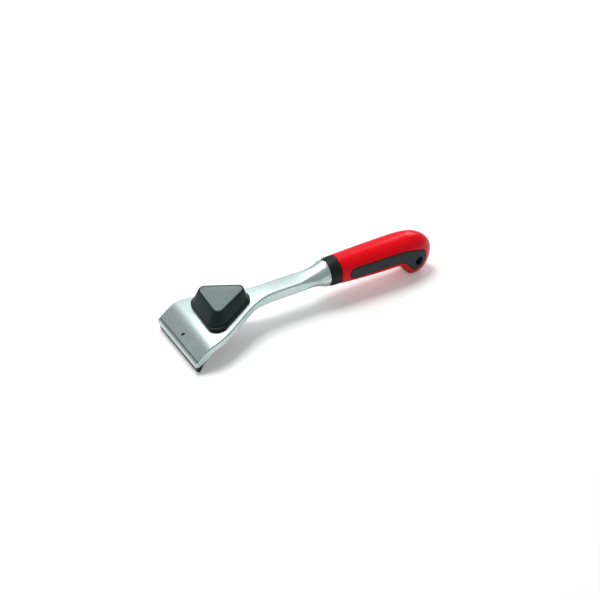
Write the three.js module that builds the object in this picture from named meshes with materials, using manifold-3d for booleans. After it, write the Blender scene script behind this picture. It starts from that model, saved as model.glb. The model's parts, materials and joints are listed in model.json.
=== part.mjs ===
// Draw scraper: a die-cast head and neck, a flat blade held by a knob-driven clamp, and a two-shot handle.
// Millimetres. X runs from the blade to the handle, Y to the left and Z up from the table that the tool lies on.
import * as THREE from "three";
import { mergeVertices } from "three/addons/utils/BufferGeometryUtils.js";
import Module from "manifold-3d";

const wasm = await Module();
wasm.setup();

// Driving dimensions, in millimetres, with angles in degrees.

// Gaps between pieces that seat on each other, and round pieces that slide or turn.
const FIT = 0.3;
const RUNNING_GAP = 0.4;

// Front plate and plateau of the head. The lip is the front edge of the plate.
const HEAD_WIDTH = 66;
const LIP_HEIGHT = 5.4;
const PLATE_SLOPE = 40;
const PLATE_RUN = 13.8;
const PLATE_THICKNESS = 3;
const LIP_GROOVE_FROM_EDGE = 2.1;
const LIP_GROOVE_WIDTH = 0.9;
const LIP_GROOVE_DEPTH = 0.5;
const BEND_EASE = 5;
const PLATEAU_SLOPE = 9.2;
const PLATEAU_RUN = 61.7;
const PLATEAU_WALL = 3.2;
const RIM_DEPTH = 6;
const RIM_WIDTH = 3.5;
const EDGE_ROUND = 2;
const KEEL_ROUND = 0.8;

// Neck, from the shoulders of the head to the ferrule that meets the collar.
const HEAD_LENGTH = 82;
const SHOULDER_EASE = 22;
const WAIST_EASE = 26;
const CREST_EASE = 12;
const NECK_LENGTH = 22;
const NECK_WIDTH = 16.2;
const NECK_DEPTH = 9.2;
const NECK_ROUND = 1.7;
const FLARE_LENGTH = 25.8;
const FERRULE_LENGTH = 3;
const FERRULE_RADIUS = 10.9;

// Tang of the casting inside the handle.
const TANG_LENGTH = 50;
const TANG_WIDTH = 11;
const TANG_DEPTH = 13;
const TANG_ROUND = 2;

// Blade: a flat strip that leans back from its cutting edge on the table into the nose of the head.
const BLADE_INSET = 0.5;
const BLADE_LENGTH = 10.2;
const BLADE_THICKNESS = 2.5;
const BLADE_SLOPE = 60;
const EDGE_SETBACK = 3.3;

// Clamp jaw behind the blade, the pin that keeps both in line, and the bolt and nut that pull the jaw up.
const JAW_THICKNESS = 2.6;
const JAW_GAP = 0.8;
const JAW_CLEARANCE = 1.2;
const JAW_HEEL = 4;
const POCKET_LENGTH = 64;
const PIN_DIAMETER = 2.6;
const PIN_FROM_LIP = 5.8;
const PIN_SUNK = 1;
const PIN_IN_BLADE = 1.6;
const BOLT_FROM_LIP = 38.2;
const BOLT_DIAMETER = 8;
const BOLT_HEAD_ACROSS = 13;
const BOLT_HEAD_DEPTH = 5.3;
const BOLT_PAST_NUT = 2.9;
const NUT_ACROSS = 13;
const NUT_DEPTH = 6.5;
const WASHER_DIAMETER = 18;
const WASHER_THICKNESS = 1.4;

// Knob: three rounded corners, one towards the handle. Sizes across are from the axis to the middle of a flat side.
// The top is set back and tips towards the handle.
const KNOB_TURN = -3;
const KNOB_HEIGHT = 14.4;
const KNOB_LEAN = 3;
const KNOB_TILT = 3.9;
const KNOB_FOOT = 16.8;
const KNOB_TOP = 12.5;
const KNOB_CORNER = 5.3;
const KNOB_EDGE = 0.7;
const KNOB_BASE_HEIGHT = 3.2;
const KNOB_BASE_MARGIN = 0.3;
const KNOB_BASE_CORNER = 8.6;
const KNOB_FLOOR = 2.4;
const CAP_ACROSS = 11.3;
const CAP_THICKNESS = 1.7;
const CAP_DISH = 0.5;

// Collar and handle. Heights are above the table, and the handle's hooked end is measured back from its tip.
const HANDLE_AXIS = 26.8;
const COLLAR_LENGTH = 9.5;
const COLLAR_FRONT_RADIUS = 11.3;
const COLLAR_REAR_RADIUS = 11.9;
const GRIP_LENGTH = 89.3;
const GRIP_FRONT_RADIUS = 11.7;
const GRIP_WIDTH = 27;
const GRIP_CROWN = 39.3;
const GRIP_BELLY = 12.6;
const GRIP_SQUARENESS = 2.3;
const CROWN_FROM_TIP = 25;
const HOOK_FROM_TIP = 35.3;
const FOOT_FROM_TIP = 18.6;
const FOOT_LENGTH = 3.4;
const FOOT_SUNK = 0.6;
const TIP_HEIGHT = 20;
const TIP_RADIUS = 1.6;
const HANG_HOLE_FROM_TIP = 16.6;
const HANG_HOLE_HEIGHT = 16.6;
const HANG_HOLE_DIAMETER = 8;

// Soft panels in the sides of the handle: a band that widens as it turns down round the hanging hole.
const PANEL_FROM_COLLAR = 12;
const PANEL_DROP = 1.2;
const PANEL_FRONT_HALF = 5;
const PANEL_REAR_HALF = 9.5;
const PANEL_KNEE = 2.1;
const PANEL_WIDENS_AT = 0.66;
const PANEL_DEPTH = 2;

// Facets along the forms.
const CORNER_STEPS = 6;
const ROUND_STEPS = 40;
const PATH_STEPS = 40;

// Materials.
const finish = (color, roughness, metalness) => new THREE.MeshStandardMaterial({ color, roughness, metalness });
const castAluminium = finish("#dfe6e4", 0.38, 0.9);
const blackSteel = finish("#15191a", 0.45, 0.8);
const platedSteel = finish("#a9adb0", 0.35, 1);
const knobPlastic = finish("#2b3434", 0.5, 0);
const capPlastic = finish("#7d908f", 0.5, 0);
const blackPlastic = finish("#101414", 0.6, 0);
const redPlastic = finish("#c4101c", 0.28, 0);
const softGrip = finish("#3c3a3c", 0.75, 0);

// Geometry helpers.
const rad = THREE.MathUtils.degToRad;
const slope = (degrees) => Math.tan(rad(degrees));
const point = (x, y) => new THREE.Vector2(x, y);

// A closed geometry as a solid for joining and cutting.
function solid(geometry) {
  const bare = geometry.clone();
  bare.deleteAttribute("normal");
  bare.deleteAttribute("uv");
  const merged = mergeVertices(bare, 1e-4);
  return new wasm.Manifold(
    new wasm.Mesh({
      numProp: 3,
      vertProperties: merged.attributes.position.array,
      triVerts: new Uint32Array(merged.index.array),
    }),
  );
}

// A named mesh from a geometry or from a solid that was cut.
function piece(name, shape, material) {
  if (shape.isBufferGeometry) return Object.assign(new THREE.Mesh(shape, material), { name });
  const { vertProperties, triVerts } = shape.getMesh();
  const geometry = new THREE.BufferGeometry()
    .setAttribute("position", new THREE.BufferAttribute(vertProperties, 3))
    .setIndex(new THREE.BufferAttribute(triVerts, 1));
  geometry.computeVertexNormals();
  return Object.assign(new THREE.Mesh(geometry, material), { name });
}

// Skin over a row of rings with equal counts of points, closed by a flat cap at each end.
function loft(rings) {
  const count = rings[0].length;
  const vertices = rings.flat();
  const faces = [];
  for (let i = 0; i + 1 < rings.length; i++) {
    for (let j = 0; j < count; j++) {
      const [a, b] = [i * count + j, i * count + ((j + 1) % count)];
      faces.push(a, b, a + count, b, b + count, a + count);
    }
  }
  const cap = (first, flip) => {
    const middle = vertices.length;
    const ring = vertices.slice(first, first + count);
    vertices.push(ring.reduce((sum, p) => sum.add(p), new THREE.Vector3()).divideScalar(count));
    for (let j = 0; j < count; j++) {
      const edge = [first + j, first + ((j + 1) % count)];
      faces.push(middle, ...(flip ? edge.reverse() : edge));
    }
  };
  cap(0, true);
  cap((rings.length - 1) * count, false);
  return new THREE.BufferGeometry().setFromPoints(vertices).setIndex(faces);
}

// Evenly spaced values from one number to another, both included.
const spaced = (from, to, steps) => Array.from({ length: steps + 1 }, (_, i) => from + ((to - from) * i) / steps);

// The height of a path that runs steadily along X, as a function of X.
function along(path) {
  const points = path.getPoints(PATH_STEPS);
  return (x) => {
    const next = Math.min(Math.max(points.findIndex((p) => p.x >= x), 1), points.length - 1);
    const [a, b] = [points[x > points.at(-1).x ? points.length - 1 : next - 1], points[next]];
    return b.x > a.x ? a.y + ((b.y - a.y) * (x - a.x)) / (b.x - a.x) : b.y;
  };
}

// A side profile, drawn in X and Z, extruded across the tool.
function across(outline, width) {
  const shape = new THREE.Shape(outline);
  return new THREE.ExtrudeGeometry(shape, { depth: width, bevelEnabled: false, curveSegments: PATH_STEPS })
    .translate(0, 0, -width / 2)
    .rotateX(Math.PI / 2);
}

// A plan, drawn in X and Y, extruded upwards.
function upwards(outline, low, high) {
  const shape = new THREE.Shape(outline);
  return new THREE.ExtrudeGeometry(shape, { depth: high - low, bevelEnabled: false }).translate(0, 0, low);
}

// An upright cylinder or, with six steps, a hexagon prism, between two heights.
function upright(diameter, low, high, steps = ROUND_STEPS) {
  return new THREE.CylinderGeometry(diameter / 2, diameter / 2, high - low, steps)
    .rotateX(Math.PI / 2)
    .translate(0, 0, (low + high) / 2);
}

// Diameter over the corners of a hexagon with the given width across its flats.
const hexagon = (acrossFlats) => (acrossFlats * 2) / Math.sqrt(3);

// Rounded rectangle in the plane at x, with its own corner radius at the bottom and at the top.
function section(x, half, low, high, lowRadius, highRadius) {
  const corners = [
    [half - highRadius, high - highRadius, highRadius],
    [highRadius - half, high - highRadius, highRadius],
    [lowRadius - half, low + lowRadius, lowRadius],
    [half - lowRadius, low + lowRadius, lowRadius],
  ];
  return corners.flatMap(([y, z, radius], quarter) =>
    spaced(quarter, quarter + 1, CORNER_STEPS).map((turn) => {
      const angle = (turn * Math.PI) / 2;
      return new THREE.Vector3(x, y + radius * Math.cos(angle), z + radius * Math.sin(angle));
    }),
  );
}

// Key points of the side view.
const lipTop = LIP_HEIGHT + PLATE_THICKNESS / Math.cos(rad(PLATE_SLOPE));
const bendHeight = lipTop + PLATE_RUN * slope(PLATE_SLOPE);
const crestX = PLATE_RUN + PLATEAU_RUN;
const neckTop = bendHeight + PLATEAU_RUN * slope(PLATEAU_SLOPE);
const flareX = HEAD_LENGTH + NECK_LENGTH;
const ferruleX = flareX + FLARE_LENGTH;
const collarX = ferruleX + FERRULE_LENGTH + FIT;
const gripX = collarX + COLLAR_LENGTH + FIT;
const tipX = gripX + GRIP_LENGTH;

// Lines parallel to the front plate and to the plateau, at a depth below their upper faces.
const plateWay = point(Math.cos(rad(PLATE_SLOPE)), Math.sin(rad(PLATE_SLOPE)));
const plateauWay = point(Math.cos(rad(PLATEAU_SLOPE)), Math.sin(rad(PLATEAU_SLOPE)));
const plateLine = (depth) => ({ at: point(depth * plateWay.y, lipTop - depth * plateWay.x), way: plateWay });
const plateauLine = (depth) => ({
  at: point(PLATE_RUN + depth * plateauWay.y, bendHeight - depth * plateauWay.x),
  way: plateauWay,
});
const onLine = ({ at, way }, distance) => at.clone().addScaledVector(way, distance);
const atX = (line, x) => onLine(line, (x - line.at.x) / line.way.x);

// Where two lines of the side view cross.
function meet(a, b) {
  const between = b.at.clone().sub(a.at);
  return onLine(a, between.cross(b.way) / a.way.cross(b.way));
}

// Frame of the clamp bolt: its origin is on the plateau and its Z axis is square to it.
const boltSeat = atX(plateauLine(0), BOLT_FROM_LIP);
const boltFrame = new THREE.Group();
boltFrame.position.set(boltSeat.x, 0, boltSeat.y);
boltFrame.rotation.y = -rad(PLATEAU_SLOPE);
boltFrame.updateMatrix();
const atBolt = (geometry) => geometry.applyMatrix4(boltFrame.matrix);

// Frame of the locating pin, parallel to the bolt, with its origin on the front plate.
const pinFrame = boltFrame.clone();
pinFrame.position.set(PIN_FROM_LIP, 0, lipTop + PIN_FROM_LIP * slope(PLATE_SLOPE));
pinFrame.updateMatrix();
const atPin = (geometry) => geometry.applyMatrix4(pinFrame.matrix);

// Depths of the clamp below the front plate, which are the same below the plateau.
const jawDepth = Math.max(PLATE_THICKNESS, PLATEAU_WALL) + JAW_GAP;
const nutDepth = jawDepth + JAW_THICKNESS + FIT;
const boltEnd = nutDepth + NUT_DEPTH + BOLT_PAST_NUT;

// Width of the blade and of the jaw's ears behind it.
const bladeWidth = HEAD_WIDTH - 2 * BLADE_INSET;

// Faces of the blade in the side view. The back faces the jaw and the front leans on the nose of the head.
const bladeWay = point(Math.cos(rad(BLADE_SLOPE)), Math.sin(rad(BLADE_SLOPE)));
const bladeOut = point(bladeWay.y, -bladeWay.x);
const bladeFace = (back) => ({ at: point(EDGE_SETBACK, 0).addScaledVector(bladeOut, back), way: bladeWay });
const bladeEnd = { at: onLine(bladeFace(0), BLADE_LENGTH), way: bladeOut };

// Depth of the pin below the front plate, along its axis, into the notch of the blade.
const pinTop = atX(plateLine(0), PIN_FROM_LIP);
const pinLine = { at: pinTop, way: point(plateauWay.y, -plateauWay.x) };
const pinDepth = meet(pinLine, bladeEnd).distanceTo(pinTop) + PIN_IN_BLADE;

// Half-width of the head and neck in plan.
const halfWidth = along(
  new THREE.Path()
    .moveTo(0, HEAD_WIDTH / 2)
    .lineTo(PLATE_RUN, HEAD_WIDTH / 2)
    .bezierCurveTo(
      PLATE_RUN + SHOULDER_EASE,
      HEAD_WIDTH / 2,
      HEAD_LENGTH - WAIST_EASE,
      NECK_WIDTH / 2,
      HEAD_LENGTH,
      NECK_WIDTH / 2,
    )
    .lineTo(flareX, NECK_WIDTH / 2)
    .quadraticCurveTo(flareX + FLARE_LENGTH / 2, NECK_WIDTH / 2, ferruleX, FERRULE_RADIUS)
    .lineTo(collarX, FERRULE_RADIUS),
);

// Plan of the space inside the rim, kept a margin away from it.
function insideRim(fromX, toX, margin) {
  const side = spaced(fromX, toX, PATH_STEPS).map((x) => point(x, halfWidth(x) - RIM_WIDTH - margin));
  return [...side.map((p) => point(p.x, -p.y)), ...side.reverse()];
}

function tang(grow) {
  const rings = [ferruleX, ferruleX + FERRULE_LENGTH + TANG_LENGTH + grow].map((x) =>
    section(
      x,
      TANG_WIDTH / 2 + grow,
      HANDLE_AXIS - TANG_DEPTH / 2 - grow,
      HANDLE_AXIS + TANG_DEPTH / 2 + grow,
      TANG_ROUND + grow,
      TANG_ROUND + grow,
    ),
  );
  return solid(loft(rings));
}

function headCasting() {
  const plateauEdge = (ease) => atX(plateauLine(0), PLATE_RUN + ease);
  const crown = new THREE.Path()
    .moveTo(0, lipTop)
    .lineTo(PLATE_RUN - BEND_EASE, bendHeight - BEND_EASE * slope(PLATE_SLOPE))
    .quadraticCurveTo(PLATE_RUN, bendHeight, plateauEdge(BEND_EASE).x, plateauEdge(BEND_EASE).y)
    .lineTo(crestX - CREST_EASE, neckTop - CREST_EASE * slope(PLATEAU_SLOPE))
    .quadraticCurveTo(crestX, neckTop, crestX + CREST_EASE, neckTop)
    .lineTo(flareX, neckTop)
    .quadraticCurveTo(flareX + FLARE_LENGTH / 2, neckTop, ferruleX, HANDLE_AXIS + FERRULE_RADIUS)
    .lineTo(collarX, HANDLE_AXIS + FERRULE_RADIUS);
  const rimCorner = meet(plateLine(PLATE_THICKNESS), plateauLine(RIM_DEPTH));
  const rimEnd = atX(plateauLine(RIM_DEPTH), POCKET_LENGTH);
  const neckKeel = neckTop - NECK_DEPTH;
  const keel = new THREE.Path()
    .moveTo(0, LIP_HEIGHT)
    .lineTo(rimCorner.x, rimCorner.y)
    .lineTo(rimEnd.x, rimEnd.y)
    .bezierCurveTo((rimEnd.x + HEAD_LENGTH) / 2, rimEnd.y, (rimEnd.x + HEAD_LENGTH) / 2, neckKeel, HEAD_LENGTH, neckKeel)
    .lineTo(flareX, neckKeel)
    .quadraticCurveTo(flareX + FLARE_LENGTH / 2, neckKeel, ferruleX, HANDLE_AXIS - FERRULE_RADIUS)
    .lineTo(collarX, HANDLE_AXIS - FERRULE_RADIUS);
  const [topAt, keelAt] = [along(crown), along(keel)];
  const rounding = (x, from) => {
    const flare = THREE.MathUtils.smoothstep(x, flareX, ferruleX);
    const plain = THREE.MathUtils.mapLinear(THREE.MathUtils.clamp(x, crestX, HEAD_LENGTH), crestX, HEAD_LENGTH, from, NECK_ROUND);
    return THREE.MathUtils.lerp(plain, FERRULE_RADIUS, flare);
  };
  const frontRound = Math.min(EDGE_ROUND, PLATE_THICKNESS / 3);
  const stations = [
    ...spaced(0, PLATE_RUN - BEND_EASE, 3),
    ...spaced(PLATE_RUN - BEND_EASE, PLATE_RUN + BEND_EASE, 10).slice(1),
    ...spaced(PLATE_RUN + BEND_EASE, flareX, 26).slice(1),
    ...spaced(flareX, ferruleX, 12).slice(1),
    ferruleX + FERRULE_LENGTH,
  ];
  const rings = stations.map((x) => {
    const edge = THREE.MathUtils.lerp(frontRound, EDGE_ROUND, THREE.MathUtils.smoothstep(x, 0, PLATE_RUN + BEND_EASE));
    return section(x, halfWidth(x), keelAt(x), topAt(x), rounding(x, KEEL_ROUND), rounding(x, edge));
  });

  const ceiling = meet(plateLine(PLATE_THICKNESS), plateauLine(PLATEAU_WALL));
  const pocketTop = atX(plateauLine(PLATEAU_WALL), POCKET_LENGTH);
  const below = -HEAD_LENGTH;
  const underHead = across(
    [ceiling, pocketTop, point(pocketTop.x, below), onLine(plateLine(PLATE_THICKNESS), below)],
    HEAD_WIDTH,
  );
  const pocket = solid(underHead).intersect(solid(upwards(insideRim(0, POCKET_LENGTH, 0), below, HEAD_LENGTH)));
  const seat = bladeFace(-BLADE_THICKNESS - FIT);
  const nose = across(
    [
      point(0, LIP_HEIGHT),
      meet(seat, { at: point(0, LIP_HEIGHT), way: point(1, 0) }),
      meet(seat, plateLine(PLATE_THICKNESS / 2)),
      atX(plateLine(PLATE_THICKNESS / 2), 0),
    ],
    HEAD_WIDTH - 2 * frontRound,
  );
  const boltHole = atBolt(upright(BOLT_DIAMETER + 2 * RUNNING_GAP, -HEAD_LENGTH, HEAD_LENGTH));
  const pinHole = atPin(upright(PIN_DIAMETER + 2 * FIT, -HEAD_LENGTH / 2, HEAD_LENGTH / 2));
  const grooveAt = onLine(plateLine(0), LIP_GROOVE_FROM_EDGE);
  const groove = new THREE.CylinderGeometry(1, 1, HEAD_WIDTH * 2, 4)
    .scale(LIP_GROOVE_WIDTH / 2, 1, LIP_GROOVE_DEPTH)
    .rotateY(-rad(PLATE_SLOPE))
    .translate(grooveAt.x, 0, grooveAt.y);
  return solid(loft(rings))
    .subtract(pocket)
    .add(solid(nose))
    .subtract(solid(boltHole))
    .subtract(solid(pinHole))
    .subtract(solid(groove))
    .add(tang(0));
}

function scraperBlade() {
  const [back, front] = [bladeFace(0), bladeFace(-BLADE_THICKNESS)];
  const outline = [back.at, onLine(back, BLADE_LENGTH), onLine(front, BLADE_LENGTH), front.at];
  const notch = atPin(upright(PIN_DIAMETER + 2 * RUNNING_GAP, -pinDepth - FIT, HEAD_LENGTH / 2));
  return solid(across(outline, bladeWidth)).subtract(solid(notch));
}

function clampJaw() {
  const [legTop, legUnder] = [plateLine(jawDepth), plateLine(jawDepth + JAW_THICKNESS)];
  const [flatTop, flatUnder] = [plateauLine(jawDepth), plateauLine(jawDepth + JAW_THICKNESS)];
  const heelTop = plateauLine(PLATEAU_WALL + FIT);
  const endX = POCKET_LENGTH - JAW_CLEARANCE;
  const outline = [
    meet(legUnder, bladeFace(FIT)),
    meet(legUnder, flatUnder),
    atX(flatUnder, endX),
    atX(heelTop, endX),
    atX(heelTop, endX - JAW_HEEL),
    atX(flatTop, endX - JAW_HEEL),
    meet(legTop, flatTop),
    meet(legTop, bladeFace(FIT)),
  ];
  const underRim = plateauLine(RIM_DEPTH + FIT);
  const earEnd = meet(legUnder, underRim);
  const below = -HEAD_LENGTH;
  const ears = across([atX(underRim, below), point(below, below), point(earEnd.x, below), earEnd], bladeWidth);
  const plan = upwards(insideRim(0, POCKET_LENGTH, JAW_CLEARANCE), below, HEAD_LENGTH);
  const boltHole = atBolt(upright(BOLT_DIAMETER + 2 * RUNNING_GAP, below, HEAD_LENGTH));
  const pinHole = atPin(upright(PIN_DIAMETER + 2 * RUNNING_GAP, below, HEAD_LENGTH / 2));
  return solid(across(outline, HEAD_WIDTH))
    .intersect(solid(plan).add(solid(ears)))
    .subtract(solid(boltHole))
    .subtract(solid(pinHole));
}

function locatingPin() {
  const lean = rad(PLATE_SLOPE - PLATEAU_SLOPE);
  return upright(PIN_DIAMETER, -pinDepth, -PIN_SUNK - (PIN_DIAMETER / 2) * Math.tan(lean), ROUND_STEPS / 2);
}

function clampNut() {
  const body = upright(hexagon(NUT_ACROSS), -nutDepth - NUT_DEPTH, -nutDepth, 6);
  const bore = upright(BOLT_DIAMETER + 2 * RUNNING_GAP, -2 * nutDepth - NUT_DEPTH, 0);
  return solid(body).subtract(solid(bore));
}

// Heights of the knob's pieces above the plateau.
const baseTop = FIT + KNOB_BASE_HEIGHT;
const bodyLow = baseTop + FIT;
const headLow = bodyLow + KNOB_FLOOR;

function clampBolt() {
  const shank = upright(BOLT_DIAMETER, -boltEnd, headLow + FIT);
  const head = upright(hexagon(BOLT_HEAD_ACROSS), headLow + FIT, headLow + FIT + BOLT_HEAD_DEPTH, 6);
  const joint = upright(BOLT_DIAMETER, 0, headLow + FIT + BOLT_HEAD_DEPTH / 2);
  return solid(shank).add(solid(head)).add(solid(joint));
}

// Ring of the knob at a height: a triangle with round corners, its flat sides at the given distance from the axis.
function threeCorners(acrossHalf, corner, height) {
  const reach = 2 * (acrossHalf - corner);
  return [0, 1, 2].flatMap((third) =>
    spaced(-1, 1, CORNER_STEPS + 2).map((turn) => {
      const way = (third * 2 * Math.PI) / 3;
      const angle = way + (turn * Math.PI) / 3;
      return new THREE.Vector3(
        reach * Math.cos(way) + corner * Math.cos(angle),
        reach * Math.sin(way) + corner * Math.sin(angle),
        height,
      );
    }),
  );
}

// Same corner centres at every height, so that the walls of the knob lean in evenly.
const knobRing = (acrossHalf, height) => threeCorners(acrossHalf, KNOB_CORNER + acrossHalf - KNOB_TOP, height);

// Ring of the leaning body: share runs from its foot to its top, and height is above that place, square to it.
function leaningRing(acrossHalf, share, height, scale = 1) {
  const place = new THREE.Matrix4()
    .makeRotationY(rad(KNOB_TILT) * share)
    .setPosition(KNOB_LEAN * share, 0, THREE.MathUtils.lerp(bodyLow, KNOB_HEIGHT, share));
  return knobRing(acrossHalf, height).map((p) => p.multiply(new THREE.Vector3(scale, scale, 1)).applyMatrix4(place));
}

function knobBody() {
  const outside = loft([
    leaningRing(KNOB_FOOT - KNOB_EDGE, 0, 0),
    leaningRing(KNOB_FOOT, 0, KNOB_EDGE),
    leaningRing(KNOB_TOP, 1, -KNOB_EDGE),
    leaningRing(KNOB_TOP - KNOB_EDGE / 4, 1, -KNOB_EDGE / 4),
    leaningRing(KNOB_TOP - KNOB_EDGE, 1, 0),
  ]);
  const capSeat = loft([leaningRing(CAP_ACROSS + FIT, 1, -CAP_THICKNESS - FIT), leaningRing(CAP_ACROSS + FIT, 1, KNOB_HEIGHT)]);
  const headPocket = upright(hexagon(BOLT_HEAD_ACROSS + 2 * FIT), headLow, KNOB_HEIGHT - CAP_THICKNESS / 2, 6);
  const bore = upright(BOLT_DIAMETER + 2 * FIT, 0, KNOB_HEIGHT / 2);
  return solid(outside).subtract(solid(capSeat)).subtract(solid(headPocket)).subtract(solid(bore));
}

function knobCap() {
  return loft([
    leaningRing(CAP_ACROSS, 1, -CAP_THICKNESS),
    leaningRing(CAP_ACROSS, 1, -KNOB_EDGE / 2),
    leaningRing(CAP_ACROSS - KNOB_EDGE / 2, 1, 0),
    leaningRing(CAP_ACROSS, 1, -CAP_DISH * 0.6, 0.75),
    leaningRing(CAP_ACROSS, 1, -CAP_DISH, 0.6),
  ]);
}

function knobBase() {
  const foot = KNOB_FOOT + KNOB_BASE_MARGIN;
  const ring = (inset, height) => threeCorners(foot - inset, KNOB_BASE_CORNER - inset, height);
  const outside = loft([ring(0, FIT), ring(0, baseTop - KNOB_EDGE), ring(KNOB_EDGE, baseTop)]);
  const washerSeat = upright(WASHER_DIAMETER + 2 * FIT, -FIT, 2 * FIT + WASHER_THICKNESS);
  const bore = upright(BOLT_DIAMETER + 2 * FIT, -FIT, KNOB_HEIGHT);
  return solid(outside).subtract(solid(washerSeat)).subtract(solid(bore));
}

function thrustWasher() {
  const bore = upright(BOLT_DIAMETER + 2 * FIT, -FIT, KNOB_HEIGHT);
  return solid(upright(WASHER_DIAMETER, FIT, FIT + WASHER_THICKNESS)).subtract(solid(bore));
}

function collar() {
  const middle = (COLLAR_FRONT_RADIUS + COLLAR_REAR_RADIUS) / 2 + KNOB_EDGE / 2;
  const profile = [
    point(0, 0),
    point(COLLAR_FRONT_RADIUS - KNOB_EDGE, 0),
    point(COLLAR_FRONT_RADIUS, KNOB_EDGE),
    point(middle, COLLAR_LENGTH / 2),
    point(COLLAR_REAR_RADIUS, COLLAR_LENGTH - KNOB_EDGE),
    point(COLLAR_REAR_RADIUS - KNOB_EDGE, COLLAR_LENGTH),
    point(0, COLLAR_LENGTH),
  ];
  const ring = new THREE.LatheGeometry(profile, ROUND_STEPS).rotateZ(-Math.PI / 2).translate(collarX, 0, HANDLE_AXIS);
  return solid(ring).subtract(tang(FIT));
}

// Outlines of the handle: its back and its underside from the side, and its half-width from above.
const crownX = tipX - CROWN_FROM_TIP;
const hookX = tipX - HOOK_FROM_TIP;
const footX = tipX - FOOT_FROM_TIP;
const footEndX = footX + FOOT_LENGTH;
const arc = (from, to) => THREE.MathUtils.lerp(from, to, 0.5523);
const backAt = along(
  new THREE.Path()
    .moveTo(gripX, HANDLE_AXIS + GRIP_FRONT_RADIUS)
    .quadraticCurveTo((gripX + crownX) / 2, GRIP_CROWN, crownX, GRIP_CROWN)
    .bezierCurveTo(arc(crownX, tipX), GRIP_CROWN, tipX, arc(TIP_HEIGHT, GRIP_CROWN), tipX, TIP_HEIGHT + TIP_RADIUS),
);
const bellyAt = along(
  new THREE.Path()
    .moveTo(gripX, HANDLE_AXIS - GRIP_FRONT_RADIUS)
    .quadraticCurveTo((gripX + hookX) / 2, GRIP_BELLY, hookX, GRIP_BELLY)
    .bezierCurveTo((hookX + footX) / 2, GRIP_BELLY, (hookX + 2 * footX) / 3, -FOOT_SUNK, footX, -FOOT_SUNK)
    .lineTo(footEndX, -FOOT_SUNK)
    .bezierCurveTo(arc(footEndX, tipX), -FOOT_SUNK, tipX, arc(TIP_HEIGHT, -FOOT_SUNK), tipX, TIP_HEIGHT - TIP_RADIUS),
);
const sideAt = along(
  new THREE.Path()
    .moveTo(gripX, GRIP_FRONT_RADIUS)
    .quadraticCurveTo((gripX + crownX) / 2, GRIP_WIDTH / 2, crownX, GRIP_WIDTH / 2)
    .bezierCurveTo(arc(crownX, tipX), GRIP_WIDTH / 2, tipX, arc(0, GRIP_WIDTH / 2), tipX, TIP_RADIUS),
);

// Outer form of the handle, drawn in by a depth for the floors of the panel recesses.
function handleForm(depth) {
  const rounded = spaced(0, Math.PI / 2, 14).map((turn) => crownX + CROWN_FROM_TIP * Math.sin(turn));
  const stations = [...spaced(gripX, crownX, 14).slice(0, -1), ...rounded];
  const turns = spaced(0, 2 * Math.PI, ROUND_STEPS).slice(0, -1);
  const power = (value) => Math.sign(value) * Math.abs(value) ** (2 / GRIP_SQUARENESS);
  return loft(
    stations.map((x) => {
      const [half, low, high] = [sideAt(x), bellyAt(x), backAt(x)];
      const [reachY, reachZ] = [half, (high - low) / 2].map((reach) => Math.max(reach - depth, TIP_RADIUS / 2));
      return turns.map(
        (turn) =>
          new THREE.Vector3(x, reachY * power(Math.cos(turn)), (low + high) / 2 + reachZ * power(Math.sin(turn))),
      );
    }),
  );
}

const hangHoleX = tipX - HANG_HOLE_FROM_TIP;
const hangHole = () =>
  new THREE.CylinderGeometry(HANG_HOLE_DIAMETER / 2, HANG_HOLE_DIAMETER / 2, 2 * GRIP_WIDTH, ROUND_STEPS / 2).translate(
    hangHoleX,
    0,
    HANG_HOLE_HEIGHT,
  );

// Outline of a side panel, grown by a margin: a band round a spine that bends down towards the hanging hole.
function panelOutline(grow) {
  const height = HANDLE_AXIS - PANEL_DROP;
  const spine = new THREE.SplineCurve([
    point(gripX + PANEL_FROM_COLLAR, height),
    point((gripX + hookX) / 2, height),
    point(hookX, height),
    point((hookX + hangHoleX) / 2, (height + HANG_HOLE_HEIGHT) / 2 + PANEL_KNEE),
    point(hangHoleX - PANEL_DROP, HANG_HOLE_HEIGHT + PANEL_DROP),
  ]);
  const share = spaced(0, 1, PATH_STEPS / 2);
  const half = (t) => {
    const widening = Math.max(0, (t - PANEL_WIDENS_AT) / (1 - PANEL_WIDENS_AT));
    return THREE.MathUtils.lerp(PANEL_FRONT_HALF, PANEL_REAR_HALF, widening ** 2);
  };
  const side = (t, sign) => {
    const way = spine.getTangentAt(t);
    return spine.getPointAt(t).addScaledVector(point(-way.y, way.x), sign * (half(t) + grow));
  };
  const end = (t, sign, length) => {
    const way = spine.getTangentAt(t);
    const reach = half(t) + grow;
    return spaced(-1, 1, CORNER_STEPS + 2)
      .slice(1, -1)
      .map((turn) =>
        spine
          .getPointAt(t)
          .addScaledVector(way, sign * (length + grow) * Math.cos((turn * Math.PI) / 2))
          .addScaledVector(point(-way.y, way.x), sign * -reach * Math.sin((turn * Math.PI) / 2)),
      );
  };
  return [
    ...share.map((t) => side(t, -1)),
    ...end(1, 1, PANEL_REAR_HALF).reverse(),
    ...share.map((t) => side(t, 1)).reverse(),
    ...end(0, -1, PANEL_FRONT_HALF).reverse(),
  ];
}

// A layer of the handle's skin inside the panel outline, on the side that sign gives.
function panelLayer(sign, grow, depth) {
  const reach = GRIP_WIDTH;
  const band = across(panelOutline(grow), reach).translate(0, (sign * reach) / 2, 0);
  return solid(band).subtract(solid(handleForm(depth)));
}

function handleCore() {
  const groundCut = new THREE.BoxGeometry(3 * GRIP_LENGTH, 3 * GRIP_WIDTH, GRIP_WIDTH).translate(tipX, 0, -GRIP_WIDTH / 2);
  return solid(handleForm(0))
    .subtract(solid(groundCut))
    .subtract(panelLayer(1, FIT, PANEL_DEPTH + FIT))
    .subtract(panelLayer(-1, FIT, PANEL_DEPTH + FIT))
    .subtract(solid(hangHole()))
    .subtract(tang(FIT));
}

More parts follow.
